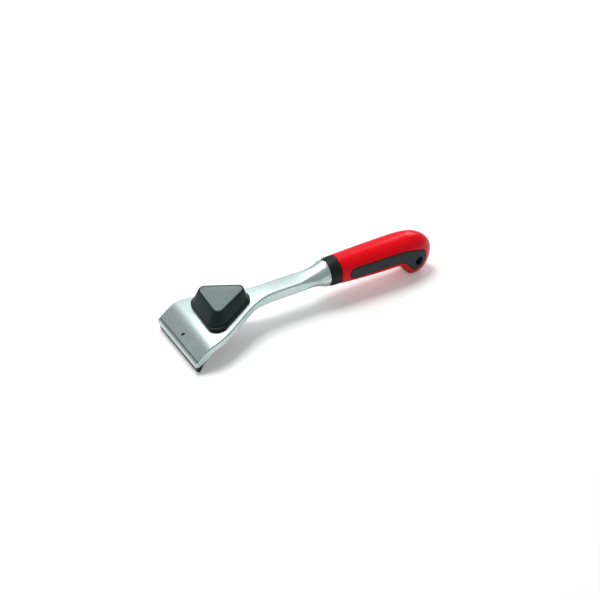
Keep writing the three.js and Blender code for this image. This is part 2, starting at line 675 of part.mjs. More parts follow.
function gripPanel(sign) {
  return panelLayer(sign, 0, PANEL_DEPTH).intersect(solid(handleForm(0))).subtract(solid(hangHole()));
}

// Assembly: what turns with the knob, what drops with the jaw, and the fixed head and handle.
const knob = new THREE.Group();
knob.rotation.z = rad(KNOB_TURN);
knob.add(
  piece("knob_body", knobBody(), knobPlastic),
  piece("knob_cap", knobCap(), capPlastic),
  piece("knob_base", knobBase(), blackPlastic),
  piece("clamp_bolt", clampBolt(), platedSteel),
  piece("thrust_washer", thrustWasher(), platedSteel),
);
boltFrame.add(knob, piece("clamp_nut", clampNut(), platedSteel));
pinFrame.add(piece("locating_pin", locatingPin(), platedSteel));

const tool = new THREE.Group();
tool.position.x = -tipX / 2;
tool.add(
  piece("head_casting", headCasting(), castAluminium),
  piece("scraper_blade", scraperBlade(), blackSteel),
  piece("clamp_jaw", clampJaw(), platedSteel),
  boltFrame,
  pinFrame,
  piece("collar", collar(), blackPlastic),
  piece("handle_core", handleCore(), redPlastic),
  piece("grip_left", gripPanel(1), softGrip),
  piece("grip_right", gripPanel(-1), softGrip),
);

const drawScraper = new THREE.Group();
drawScraper.add(tool);

export default drawScraper;
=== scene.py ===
"""Dressed draw scraper: cast head, clamped blade, pressure knob and soft handle on a pale floor."""

import json
import logging
import math
from collections.abc import Callable, Iterable, Sequence
from dataclasses import dataclass, field
from enum import Enum

import bmesh
import bpy
from mathutils import Matrix, Vector

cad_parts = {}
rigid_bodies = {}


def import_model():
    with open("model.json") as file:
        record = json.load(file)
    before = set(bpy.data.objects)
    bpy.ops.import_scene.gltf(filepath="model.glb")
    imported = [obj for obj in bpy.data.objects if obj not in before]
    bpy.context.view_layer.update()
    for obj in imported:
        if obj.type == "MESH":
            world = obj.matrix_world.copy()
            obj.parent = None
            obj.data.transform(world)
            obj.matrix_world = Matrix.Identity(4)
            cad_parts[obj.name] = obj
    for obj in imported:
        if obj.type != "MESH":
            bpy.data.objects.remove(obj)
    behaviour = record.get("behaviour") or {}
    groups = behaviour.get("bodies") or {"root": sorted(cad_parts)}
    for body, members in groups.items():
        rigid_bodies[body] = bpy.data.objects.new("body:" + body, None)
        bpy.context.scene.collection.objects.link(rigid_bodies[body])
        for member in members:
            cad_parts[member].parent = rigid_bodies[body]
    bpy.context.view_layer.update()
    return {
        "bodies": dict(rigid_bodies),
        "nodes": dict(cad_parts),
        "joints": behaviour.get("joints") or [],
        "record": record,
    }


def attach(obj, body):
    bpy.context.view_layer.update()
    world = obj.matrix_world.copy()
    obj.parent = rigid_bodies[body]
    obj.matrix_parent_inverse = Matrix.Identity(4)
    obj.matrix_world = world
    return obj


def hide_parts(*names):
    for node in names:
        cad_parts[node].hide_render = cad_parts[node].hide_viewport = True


log = logging.getLogger("draw_scraper")

Piece = bpy.types.Object
Socket = bpy.types.NodeSocket
Triple = tuple[float, float, float]

MM = 0.001
HALF_LENGTH = 116.1
# Distance in metres within which two places count as one, and within which vertices are merged
NEAR = 1e-6
MERGED = 1e-7
# Millimetres by which a drill or a cutting block passes through every wall
DRILL = 40
# Share of the radius at which the control points of a curve make a quarter circle
QUARTER = 0.5523
# Sockets of a Mix node that works on colours
MIX_FACTOR, MIX_DARK, MIX_LIGHT, MIX_RESULT = 0, 6, 7, 2
# Noise values between which most of a pattern lies
NOISE_LOW, NOISE_HIGH = 0.3, 0.7


class Body(Enum):
    """The moving bodies of the tool."""

    HEAD = "head"
    KNOB = "knob"
    CLAMP = "clamp"


class Side(Enum):
    """The two sides of the tool, by the sign of Y."""

    LEFT = 1
    RIGHT = -1


class Cut(Enum):
    """Ways in which one solid works on another."""

    AWAY = "DIFFERENCE"
    JOIN = "UNION"
    KEEP = "INTERSECT"


class Axis(Enum):
    """The axes that rims and rings are found along."""

    LENGTH = 0
    HEIGHT = 2


def spot(x: float, y: float, z: float) -> Vector:
    """Turn millimetres back from the lip, to the left and above the table into a point in metres."""
    return Vector((x - HALF_LENGTH, y, z)) * MM


def mixed(low: float, high: float, share: float) -> float:
    """Return the value at a share of the way from low to high."""
    return low + (high - low) * share


def eased(low: float, high: float, value: float) -> float:
    """Return a smooth step from 0 at low to 1 at high."""
    share = min(max((value - low) / (high - low), 0.0), 1.0)
    return share * share * (3 - 2 * share)


def steps(low: float, high: float, count: int) -> list[float]:
    """Return evenly spaced values from low to high, both included."""
    return [mixed(low, high, index / count) for index in range(count + 1)]


class Outline:
    """A side or plan line of a form, drawn along the tool in millimetres and read off at any length."""

    curve_steps = 72

    def __init__(self, x: float, y: float) -> None:
        """Start the line at a point."""
        self.points: list[Vector] = [Vector((x, y))]

    def to(self, *controls: Sequence[float]) -> "Outline":
        """Go on to a point, straight or by way of control points.

        Args:
            controls: The end point, after one or two control points of a curve.

        Returns:
            The line itself.
        """
        hull = [self.points[-1], *(Vector(c) for c in controls)]
        count = 1 if len(hull) == 2 else self.curve_steps
        for share in steps(0, 1, count)[1:]:
            level = hull
            while len(level) > 1:
                level = [a.lerp(b, share) for a, b in zip(level, level[1:])]
            self.points.append(level[0])
        return self

    def at(self, x: float) -> float:
        """Read the line off at a length.

        Args:
            x: Length from the lip.

        Returns:
            The height or half-width there.
        """
        for before, after in zip(self.points, self.points[1:]):
            if x <= after.x and after.x > before.x:
                return mixed(before.y, after.y, max(0.0, (x - before.x) / (after.x - before.x)))
        return self.points[-1].y


@dataclass(frozen=True)
class Slope:
    """A straight line of the side view: a point and its rise in degrees."""

    x: float
    z: float
    rise: float

    @property
    def way(self) -> Vector:
        """Direction along the line."""
        return Vector((math.cos(math.radians(self.rise)), math.sin(math.radians(self.rise))))

    @property
    def up(self) -> Vector:
        """Direction square to the line, upwards."""
        return Vector((-self.way.y, self.way.x))

    def below(self, depth: float) -> "Slope":
        """Return the parallel line at a depth below this one."""
        return Slope(self.x - depth * self.up.x, self.z - depth * self.up.y, self.rise)

    def along(self, distance: float) -> Vector:
        """Return the point at a distance along the line."""
        return Vector((self.x, self.z)) + self.way * distance

    def over(self, x: float) -> Vector:
        """Return the point of the line at a length."""
        return self.along((x - self.x) / self.way.x)

    def meet(self, other: "Slope") -> Vector:
        """Find where this line crosses another.

        Args:
            other: The other line.

        Returns:
            The crossing in the side view.
        """
        gap = Vector((other.x - self.x, other.z - self.z))
        turn = self.way.x * other.way.y - self.way.y * other.way.x
        return self.along((gap.x * other.way.y - gap.y * other.way.x) / turn)


@dataclass(frozen=True)
class Section:
    """A section of a long form: length from the lip, half-width, underside and top, in millimetres."""

    x: float
    half: float
    low: float
    high: float

    @property
    def middle(self) -> Vector:
        """Middle of the section, in metres."""
        return spot(self.x, 0, (self.low + self.high) / 2)


class Bench:
    """The workbench: operators on one piece at a time."""

    @staticmethod
    def clear() -> None:
        """Leave edit mode and let go of every object."""
        if bpy.context.object and bpy.context.object.mode != "OBJECT":
            bpy.ops.object.mode_set(mode="OBJECT")
        bpy.ops.object.select_all(action="DESELECT")

    @staticmethod
    def hold(piece: Piece) -> None:
        """Make a piece the only selected and active one, in object mode.

        Args:
            piece: The piece.
        """
        Bench.clear()
        piece.select_set(True)
        bpy.context.view_layer.objects.active = piece

    @staticmethod
    def edit(piece: Piece) -> None:
        """Open a piece in edit mode with nothing selected.

        Args:
            piece: The piece.
        """
        Bench.hold(piece)
        bpy.ops.object.mode_set(mode="EDIT")
        bpy.ops.mesh.select_mode(type="VERT")
        bpy.ops.mesh.select_all(action="DESELECT")

    @staticmethod
    def settle(name: str) -> Piece:
        """Name the newest primitive and put its place into its mesh.

        Args:
            name: Name of the piece.

        Returns:
            The piece, at the origin and unturned.
        """
        piece = bpy.context.object
        piece.name = name
        piece.data.name = name
        bpy.ops.object.transform_apply(location=True, rotation=True, scale=True)
        return piece

    @staticmethod
    def take_all() -> None:
        """Select everything in the piece that is open."""
        bpy.ops.mesh.select_all(action="SELECT")

    @staticmethod
    def pick(piece: Piece, wanted: Callable[[Vector], bool]) -> None:
        """Select some vertices, and the edges and faces between them.

        Args:
            piece: The piece, in edit mode.
            wanted: Tells from its place whether a vertex is selected.
        """
        bpy.ops.mesh.select_mode(type="VERT")
        bpy.ops.mesh.select_all(action="DESELECT")
        mesh = bmesh.from_edit_mesh(piece.data)
        for vertex in mesh.verts:
            vertex.select_set(wanted(vertex.co))
        mesh.select_flush(True)
        bmesh.update_edit_mesh(piece.data, loop_triangles=False, destructive=False)

    @staticmethod
    def pick_level(piece: Piece, axis: Axis, *places: float) -> None:
        """Select the vertices of an open piece at given places along an axis, in metres."""
        Bench.pick(piece, lambda co: any(abs(co[axis.value] - place) < NEAR for place in places))

    @staticmethod
    def pick_faces(piece: Piece, wanted: Callable[[Vector, Vector], bool]) -> None:
        """Select some faces.

        Args:
            piece: The piece, in edit mode.
            wanted: Tells from its centre and normal whether a face is selected.
        """
        bpy.ops.mesh.select_mode(type="FACE")
        bpy.ops.mesh.select_all(action="DESELECT")
        mesh = bmesh.from_edit_mesh(piece.data)
        mesh.normal_update()
        for face in mesh.faces:
            face.select_set(wanted(face.calc_center_median(), face.normal))
        mesh.select_flush_mode()
        bmesh.update_edit_mesh(piece.data, loop_triangles=False, destructive=False)

    @staticmethod
    def pick_numbers(piece: Piece, numbers: Iterable[int]) -> None:
        """Select vertices by their numbers.

        Args:
            piece: The piece, in edit mode.
            numbers: Numbers of the vertices.
        """
        bpy.ops.mesh.select_all(action="DESELECT")
        mesh = bmesh.from_edit_mesh(piece.data)
        mesh.verts.ensure_lookup_table()
        for number in numbers:
            mesh.verts[number].select_set(True)
        mesh.select_flush(True)
        bmesh.update_edit_mesh(piece.data, loop_triangles=False, destructive=False)

    @staticmethod
    def picked(piece: Piece) -> list[int]:
        """Return the numbers of the selected vertices."""
        return [v.index for v in bmesh.from_edit_mesh(piece.data).verts if v.select]

    @staticmethod
    def vertex(piece: Piece, number: int) -> Vector:
        """Return the place of one vertex of an open piece.

        Args:
            piece: The piece, in edit mode.
            number: Number of the vertex.

        Returns:
            A copy of its place.
        """
        mesh = bmesh.from_edit_mesh(piece.data)
        mesh.verts.ensure_lookup_table()
        return mesh.verts[number].co.copy()

    @staticmethod
    def move(by: Vector) -> None:
        """Shift the selection."""
        bpy.ops.transform.translate(value=by)

    @staticmethod
    def scale(factors: Sequence[float], about: Vector) -> None:
        """Resize the selection about a point."""
        bpy.ops.transform.resize(value=tuple(factors), center_override=tuple(about))

    @staticmethod
    def turn(degrees: float, axis: str, about: Vector) -> None:
        """Turn the selection about an axis through a point, positive by the right hand."""
        angle = -math.radians(degrees)
        bpy.ops.transform.rotate(value=angle, orient_axis=axis, center_override=tuple(about))

    @staticmethod
    def extrude(by: Vector) -> None:
        """Extrude the selection by a shift."""
        bpy.ops.mesh.extrude_region_move(TRANSFORM_OT_translate={"value": tuple(by)})

    @staticmethod
    def shift(piece: Piece, by: Vector) -> None:
        """Shift a whole piece within its mesh.

        Args:
            piece: The piece.
            by: The shift.
        """
        Bench.edit(piece)
        Bench.take_all()
        Bench.move(by)
        Bench.hold(piece)

    @staticmethod
    def round_over(width: float, segments: int) -> None:
        """Bevel the selected edges to a round.

        Args:
            width: Millimetres.
            segments: Facets of the round.
        """
        bpy.ops.mesh.bevel(
            offset=width * MM, segments=segments, affect="EDGES", profile=0.5, clamp_overlap=True
        )

    @staticmethod
    def slice_off(place: Vector, outwards: Vector) -> None:
        """Cut off and close what lies beyond a plane.

        Args:
            place: A point on the plane.
            outwards: Direction square to the plane, towards what goes.
        """
        Bench.take_all()
        bpy.ops.mesh.bisect(
            plane_co=place, plane_no=outwards, use_fill=True, clear_outer=True, threshold=MERGED
        )

    @staticmethod
    def close_up(piece: Piece) -> None:
        """Merge doubles and face every surface outwards.

        Args:
            piece: The piece, in edit mode. It is left in object mode.
        """
        bpy.ops.mesh.select_mode(type="VERT")
        Bench.take_all()
        bpy.ops.mesh.remove_doubles(threshold=MERGED)
        bpy.ops.mesh.normals_make_consistent(inside=False)
        Bench.hold(piece)

    @staticmethod
    def modifier(piece: Piece, kind: str, **values: object) -> None:
        """Add a modifier to a piece and apply it.

        Args:
            piece: The piece.
            kind: Modifier type.
            values: Settings of the modifier.
        """
        Bench.hold(piece)
        bpy.ops.object.modifier_add(type=kind)
        made = piece.modifiers[-1]
        for name, value in values.items():
            setattr(made, name, value)
        bpy.ops.object.modifier_apply(modifier=made.name)

    @staticmethod
    def soften(piece: Piece, width: float, segments: int, degrees: float = 30) -> None:
        """Bevel every edge that is sharper than an angle.

        Args:
            piece: The piece.
            width: Millimetres.
            segments: Facets of the bevel.
            degrees: The angle between the faces of an edge.
        """
        limit = math.radians(degrees)
        Bench.modifier(
            piece, "BEVEL", width=width * MM, segments=segments, limit_method="ANGLE", angle_limit=limit
        )

    @staticmethod
    def remove(piece: Piece) -> None:
        """Delete a piece that has done its work."""
        Bench.hold(piece)
        bpy.ops.object.delete()

    @staticmethod
    def cut(piece: Piece, tool: Piece, way: Cut = Cut.AWAY) -> None:
        """Work one solid with another and remove the tool."""
        Bench.modifier(piece, "BOOLEAN", object=tool, operation=way.value, solver="EXACT")
        Bench.remove(tool)

    @staticmethod
    def copy(piece: Piece, name: str) -> Piece:
        """Copy a piece, with a mesh of its own.

        Args:
            piece: The piece.
            name: Name of the copy.

        Returns:
            The copy.
        """
        Bench.hold(piece)
        bpy.ops.object.duplicate(linked=False)
        twin = bpy.context.object
        twin.name = name
        twin.data.name = name
        return twin

    @staticmethod
    def place(piece: Piece, where: Matrix) -> None:
        """Put a piece that was made at the origin in its place, within its mesh.

        Args:
            piece: The piece.
            where: Frame of its place.
        """
        Bench.hold(piece)
        piece.matrix_world = where
        bpy.ops.object.transform_apply(location=True, rotation=True, scale=True)

    @staticmethod
    def smooth(piece: Piece, degrees: float = 30) -> None:
        """Shade a piece smooth up to an angle between faces."""
        Bench.hold(piece)
        bpy.ops.object.shade_smooth_by_angle(angle=math.radians(degrees))

    @staticmethod
    def prism(name: str, corners: Sequence[Vector], sweep: Vector) -> Piece:
        """Make a flat outline and sweep it straight into a closed solid.

        Args:
            name: Name of the solid.
            corners: Corners of the outline in order, in metres.
            sweep: Shift from the outline to its far end.

        Returns:
            The solid.
        """
        Bench.clear()
        bpy.ops.mesh.primitive_circle_add(vertices=len(corners), radius=1, fill_type="NGON")
        piece = Bench.settle(name)
        Bench.edit(piece)
        for number, corner in enumerate(corners):
            Bench.pick_numbers(piece, [number])
            Bench.move(corner - Bench.vertex(piece, number))
        Bench.take_all()
        Bench.extrude(sweep)
        Bench.close_up(piece)
        return piece

    @staticmethod
    def bar(name: str, outline: Sequence[Vector], half: float) -> Piece:
        """Make a solid from an outline of the side view, swept across half its width to each side."""
        corners = [spot(p.x, -half, p.y) for p in outline]
        return Bench.prism(name, corners, Vector((0, 2 * half * MM, 0)))

    @staticmethod
    def rod(name: str, diameter: float, low: float, high: float, where: Matrix, sides: int = 48) -> Piece:
        """Make a rod on the Z axis of a frame.

        Args:
            name: Name of the rod.
            diameter: Millimetres.
            low: Lower end on the axis, in millimetres.
            high: Upper end on the axis, in millimetres.
            where: Frame of the axis.
            sides: Facets.

        Returns:
            The rod.
        """
        middle = (0, 0, (low + high) / 2 * MM)
        Bench.clear()
        bpy.ops.mesh.primitive_cylinder_add(
            vertices=sides, radius=diameter / 2 * MM, depth=(high - low) * MM, location=middle
        )
        piece = Bench.settle(name)
        Bench.place(piece, where)
        return piece

    @staticmethod
    def drill(piece: Piece, diameter: float, where: Matrix, sides: int = 48, low: float = -DRILL) -> None:
        """Drill a hole on the Z axis of a frame from above, right through or down to a lower end."""
        Bench.cut(piece, Bench.rod("drill", diameter, low, DRILL, where, sides))


@dataclass(frozen=True)
class Corner:
    """A rounded corner of a ring: the centre of its arc and its radius, in metres."""

    centre: Vector
    radius: float


class CornerSkin:
    """A skin pulled out ring by ring from a circle, with the arcs of its corners moved apart."""

    same_radius = 1e-9

    def __init__(self, name: str, ring: Sequence[Corner], tilt: Triple, arc: int) -> None:
        """Draw the first ring.

        Args:
            name: Name of the piece.
            ring: Corners of the first ring, all in one plane.
            tilt: Turn of the circle from level, as Euler angles.
            arc: Points on each corner.
        """
        self.ring = list(ring)
        self.middle = sum((c.centre for c in ring), Vector()) / len(ring)
        self.ways = [(c.centre - self.middle).normalized() for c in ring]
        self.count = arc * len(ring)
        Bench.clear()
        bpy.ops.mesh.primitive_circle_add(
            vertices=self.count, radius=ring[0].radius, location=self.middle, rotation=tilt
        )
        self.piece = Bench.settle(name)
        Bench.edit(self.piece)
        self.first = list(range(self.count))
        self.last = self.first
        for numbers, corner in zip(self._groups(), self.ring):
            Bench.pick_numbers(self.piece, numbers)
            Bench.scale([corner.radius / ring[0].radius] * 3, self.middle)
            Bench.move(corner.centre - self.middle)
        Bench.pick_numbers(self.piece, self.last)

    def pull(self, ring: Sequence[Corner]) -> None:
        """Extrude the last ring to the next one.

        Args:
            ring: Corners of the new ring, in the same order.
        """
        Bench.extrude(Vector())
        self.last = Bench.picked(self.piece)
        for numbers, old, new in zip(self._groups(), self.ring, ring):
            Bench.pick_numbers(self.piece, numbers)
            if abs(new.radius - old.radius) > self.same_radius:
                Bench.scale([new.radius / old.radius] * 3, old.centre)
            Bench.move(new.centre - old.centre)
        self.ring = list(ring)
        Bench.pick_numbers(self.piece, self.last)

    def _groups(self) -> list[list[int]]:
        """Sort the last ring's vertices by corner.

        Returns:
            The numbers of the vertices of each corner.
        """
        mesh = bmesh.from_edit_mesh(self.piece.data)
        mesh.verts.ensure_lookup_table()
        middle = sum((mesh.verts[n].co for n in self.last), Vector()) / self.count
        groups: list[list[int]] = [[] for _ in self.ways]
        for number in self.last:
            reach = mesh.verts[number].co - middle
            best = max(range(len(self.ways)), key=lambda k: reach.dot(self.ways[k]))
            groups[best].append(number)
        return groups

    def finish(self) -> Piece:
        """Close both ends.

        Returns:
            The piece, in object mode.
        """
        for numbers in (self.first, self.last):
            Bench.pick_numbers(self.piece, numbers)
            bpy.ops.mesh.edge_face_add()
        Bench.close_up(self.piece)
        return self.piece


class RoundSkin:
    """A skin pulled out along the tool from a circle that is squared a little and resized at each ring."""

    def __init__(self, name: str, first: Section, sides: int, squareness: float) -> None:
        """Draw the first ring.

        Args:
            name: Name of the piece.
            first: Section at the start.
            sides: Points round the ring.
            squareness: 2 for an ellipse, more for fuller sides.
        """
        self.last = first
        Bench.clear()
        bpy.ops.mesh.primitive_circle_add(
            vertices=sides, radius=MM, location=first.middle, rotation=(0, math.pi / 2, 0)
        )
        self.piece = Bench.settle(name)
        Bench.edit(self.piece)
        self._square(squareness)
        Bench.take_all()
        Bench.scale((1, first.half, (first.high - first.low) / 2), first.middle)

    def _square(self, squareness: float) -> None:
        """Push the points of the first circle out towards its corners.

        Args:
            squareness: 2 to leave the circle as it is, more for fuller sides.
        """
        middle = self.last.middle
        mesh = bmesh.from_edit_mesh(self.piece.data)
        groups: dict[int, list[int]] = {}
        for vertex in mesh.verts:
            reach = vertex.co - middle
            angle = math.atan2(abs(reach.z), abs(reach.y))
            groups.setdefault(round(math.degrees(angle) * 100), []).append(vertex.index)
        for angle, numbers in groups.items():
            turn = math.radians(angle / 100)
            fullness = math.cos(turn) ** squareness + max(math.sin(turn), 0.0) ** squareness
            Bench.pick_numbers(self.piece, numbers)
            Bench.scale([fullness ** (-1 / squareness)] * 3, middle)

    def pull(self, new: Section) -> None:
        """Extrude the last ring to the next one.

        Args:
            new: Section of the new ring.
        """
        old, self.last = self.last, new
        Bench.extrude(new.middle - old.middle)
        Bench.scale((1, new.half / old.half, (new.high - new.low) / (old.high - old.low)), new.middle)

    def ends(self, *lengths: float) -> None:
        """Close the skin with faces.

        Args:
            lengths: Length from the lip of each ring to close.
        """
        for x in lengths:
            Bench.pick_level(self.piece, Axis.LENGTH, spot(x, 0, 0).x)
            bpy.ops.mesh.edge_face_add()


class Shading:
    """Node tree of one finish, laid out on the piece's own coordinates."""

    def __init__(self, name: str, metallic: float, specular: float, tint: Triple) -> None:
        """Start a material with its shader.

        Args:
            name: Name of the material.
            metallic: 1 for bare metal.
            specular: Level of the reflection of a plastic.
            tint: Colour of that reflection.
        """
        self.material = bpy.data.materials.new(name)
        self.material.use_nodes = True
        self.tree = self.material.node_tree
        self.shader = self.tree.nodes["Principled BSDF"]
        self.shader.inputs["Metallic"].default_value = metallic
        self.shader.inputs["Specular IOR Level"].default_value = specular
        self.shader.inputs["Specular Tint"].default_value = (*tint, 1)
        self.place = self.tree.nodes.new("ShaderNodeTexCoord").outputs["Object"]

    def link(self, source: Socket, target: Socket) -> None:
        """Join two sockets."""
        self.tree.links.new(source, target)

    def noise(self, size: float, detail: float, stretch: Triple = (1, 1, 1)) -> Socket:
        """Add a noise.

        Args:
            size: Millimetres from grain to grain.
            detail: Finer layers in the noise.
            stretch: Scale of the pattern along each axis.

        Returns:
            The noise's value.
        """
        mapping = self.tree.nodes.new("ShaderNodeMapping")
        mapping.inputs["Scale"].default_value = stretch
        self.link(self.place, mapping.inputs["Vector"])
        node = self.tree.nodes.new("ShaderNodeTexNoise")
        node.inputs["Scale"].default_value = 1 / (size * MM)
        node.inputs["Detail"].default_value = detail
        self.link(mapping.outputs["Vector"], node.inputs["Vector"])
        return node.outputs["Fac"]

    def ranged(self, value: Socket, low: float, high: float) -> Socket:
        """Spread a noise over a range.

        Args:
            value: The noise's value.
            low: Lower end of the range.
            high: Upper end of the range.

        Returns:
            The spread value.
        """
        node = self.tree.nodes.new("ShaderNodeMapRange")
        node.inputs["From Min"].default_value = NOISE_LOW
        node.inputs["From Max"].default_value = NOISE_HIGH
        node.inputs["To Min"].default_value = low
        node.inputs["To Max"].default_value = high
        self.link(value, node.inputs["Value"])
        return node.outputs["Result"]

    def colours(self, value: Socket, dark: Triple, light: Triple) -> None:
        """Vary the base colour between two tones.

        Args:
            value: Noise that chooses between them.
            dark: The darker tone.
            light: The lighter tone.
        """
        node = self.tree.nodes.new("ShaderNodeMix")
        node.data_type = "RGBA"
        node.inputs[MIX_DARK].default_value = (*dark, 1)
        node.inputs[MIX_LIGHT].default_value = (*light, 1)
        self.link(self.ranged(value, 0, 1), node.inputs[MIX_FACTOR])
        self.link(node.outputs[MIX_RESULT], self.shader.inputs["Base Color"])

    def roughness(self, value: Socket, low: float, high: float) -> None:
        """Vary the roughness by a value."""
        self.link(self.ranged(value, low, high), self.shader.inputs["Roughness"])

    def relief(self, *layers: tuple[Socket, float, float]) -> None:
        """Raise fine relief on the surface.

        Args:
            layers: Height, strength and depth in millimetres of each layer.
        """
        below: Socket | None = None
        for height, strength, depth in layers:
            node = self.tree.nodes.new("ShaderNodeBump")
            node.inputs["Strength"].default_value = strength
            node.inputs["Distance"].default_value = depth * MM
            self.link(height, node.inputs["Height"])
            if below is not None:
                self.link(below, node.inputs["Normal"])
            below = node.outputs["Normal"]
        if below is not None:
            self.link(below, self.shader.inputs["Normal"])


@dataclass(frozen=True)
class Finish:
    """A finish of the tool: two tones of colour, a range of gloss, and its grain in millimetres."""

    name: str
    slot: str
    dark: Triple
    light: Triple
    gloss: tuple[float, float]
    metallic: float = 0.0
    specular: float = 0.5
    tint: Triple = (1.0, 1.0, 1.0)
    patch: float = 12.0
    grain: float = 0.4
    grain_depth: float = 0.03
    grain_strength: float = 0.3
    brushed: Triple = (1.0, 1.0, 1.0)
    wave_depth: float = 0.05
    wave_strength: float = 0.05

    def material(self) -> bpy.types.Material:
        """Build the finish as a node material, the first time that it is asked for.

        Returns:
            The material.
        """
        made = bpy.data.materials.get(self.name)
        if made is not None:
            return made
        shading = Shading(self.name, self.metallic, self.specular, self.tint)
        grain = shading.noise(self.grain, 2, self.brushed)
        waves = shading.noise(self.patch / 2, 1)
        shading.colours(shading.noise(self.patch, 3), self.dark, self.light)
        shading.roughness(shading.noise(self.patch / 4, 4), *self.gloss)
        shading.relief(
            (waves, self.wave_strength, self.wave_depth), (grain, self.grain_strength, self.grain_depth)
        )
        return shading.material

    def coat_piece(self, piece: Piece) -> None:
        """Give a piece this finish all over.

        Args:
            piece: The piece.
        """
        piece.data.materials.clear()
        piece.data.materials.append(self.material())

    def coat_faces(self, piece: Piece, wanted: Callable[[Vector, Vector], bool]) -> None:
        """Give some faces of a dressed piece this finish.

        Args:
            piece: A piece that already has a finish all over.
            wanted: Tells from its centre and normal whether a face gets this one.
        """
        piece.data.materials.append(self.material())
        Bench.edit(piece)
        Bench.pick_faces(piece, wanted)
        piece.active_material_index = len(piece.data.materials) - 1
        bpy.ops.object.material_slot_assign()
        Bench.hold(piece)


CAST_ALUMINIUM = Finish(
    "satin_cast_aluminium",
    "cast_aluminium",
    dark=(0.60, 0.73, 0.715),
    light=(0.66, 0.79, 0.775),
    gloss=(0.33, 0.40),
    metallic=1.0,
    grain=0.35,
    grain_depth=0.012,
)
# Painted shade: a darker copy of the cast aluminium, put on the faces inside the lip's groove and the pin's
# hole to stand in for the shade there
PAINTED_SHADE_IN_HOLLOWS = Finish(
    "painted_shade_cast_hollows",
    "cast_aluminium",
    dark=(0.17, 0.20, 0.197),
    light=(0.23, 0.265, 0.26),
    gloss=(0.6, 0.7),
    metallic=0.7,
    patch=5,
    grain_depth=0.02,
)
BLACK_STEEL = Finish(
    "blackened_steel",
    "black_steel",
    dark=(0.012, 0.015, 0.015),
    light=(0.03, 0.035, 0.035),
    gloss=(0.3, 0.42),
    metallic=0.6,
    brushed=(0.15, 1, 1),
    grain_depth=0.01,
)
GROUND_STEEL = Finish(
    "ground_steel",
    "black_steel",
    dark=(0.62, 0.65, 0.65),
    light=(0.72, 0.75, 0.75),
    gloss=(0.2, 0.3),
    metallic=1.0,
    brushed=(1, 0.1, 1),
    grain_depth=0.006,
)
PLATED_STEEL = Finish(
    "zinc_plated_steel",
    "plated_steel",
    dark=(0.34, 0.38, 0.37),
    light=(0.46, 0.50, 0.49),
    gloss=(0.3, 0.42),
    metallic=1.0,
    patch=6,
    grain_depth=0.008,
)
KNOB_PLASTIC = Finish(
    "dark_knob_plastic",
    "knob_plastic",
    dark=(0.005, 0.014, 0.014),
    light=(0.009, 0.021, 0.021),
    gloss=(0.38, 0.46),
    specular=0.22,
    tint=(0.7, 1.0, 1.0),
    grain=0.25,
    grain_depth=0.02,
)
CAP_PLASTIC = Finish(
    "pale_cap_plastic",
    "cap_plastic",
    dark=(0.13, 0.185, 0.18),
    light=(0.155, 0.215, 0.21),
    gloss=(0.45, 0.55),
    grain=0.25,
    grain_depth=0.02,
)
BLACK_PLASTIC = Finish(
    "black_moulded_plastic",
    "black_plastic",
    dark=(0.004, 0.008, 0.008),
    light=(0.008, 0.014, 0.014),
    gloss=(0.42, 0.50),
    specular=0.22,
    grain=0.3,
    grain_depth=0.02,
)
RED_PLASTIC = Finish(
    "glossy_red_plastic",
    "red_plastic",
    dark=(0.76, 0.002, 0.006),
    light=(0.82, 0.004, 0.012),
    gloss=(0.20, 0.26),
    specular=0.5,
    tint=(1.0, 0.18, 0.24),
    patch=20,
    grain=0.5,
    grain_depth=0.008,
    grain_strength=0.15,
)
SOFT_GRIP = Finish(
    "soft_black_grip",
    "soft_grip",
    dark=(0.021, 0.032, 0.032),
    light=(0.030, 0.044, 0.043),
    gloss=(0.58, 0.7),
    specular=0.3,
    patch=8,
    grain=0.22,
    grain_depth=0.03,
    grain_strength=0.4,
)


def finish_piece(piece: Piece, body: Body, finish: Finish | None, *nodes: str) -> None:
    """Dress a finished piece, put it on its body and let it stand for its CAD nodes.

    Args:
        piece: The piece.
        body: Body that it moves with.
        finish: Finish all over, or None where the piece is already dressed.
        nodes: CAD nodes that it stands for.
    """
    if finish is not None:
        finish.coat_piece(piece)
    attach(piece, body.value)
    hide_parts(*nodes)
    log.info("%s: %d faces on %s", piece.name, len(piece.data.polygons), body.value)


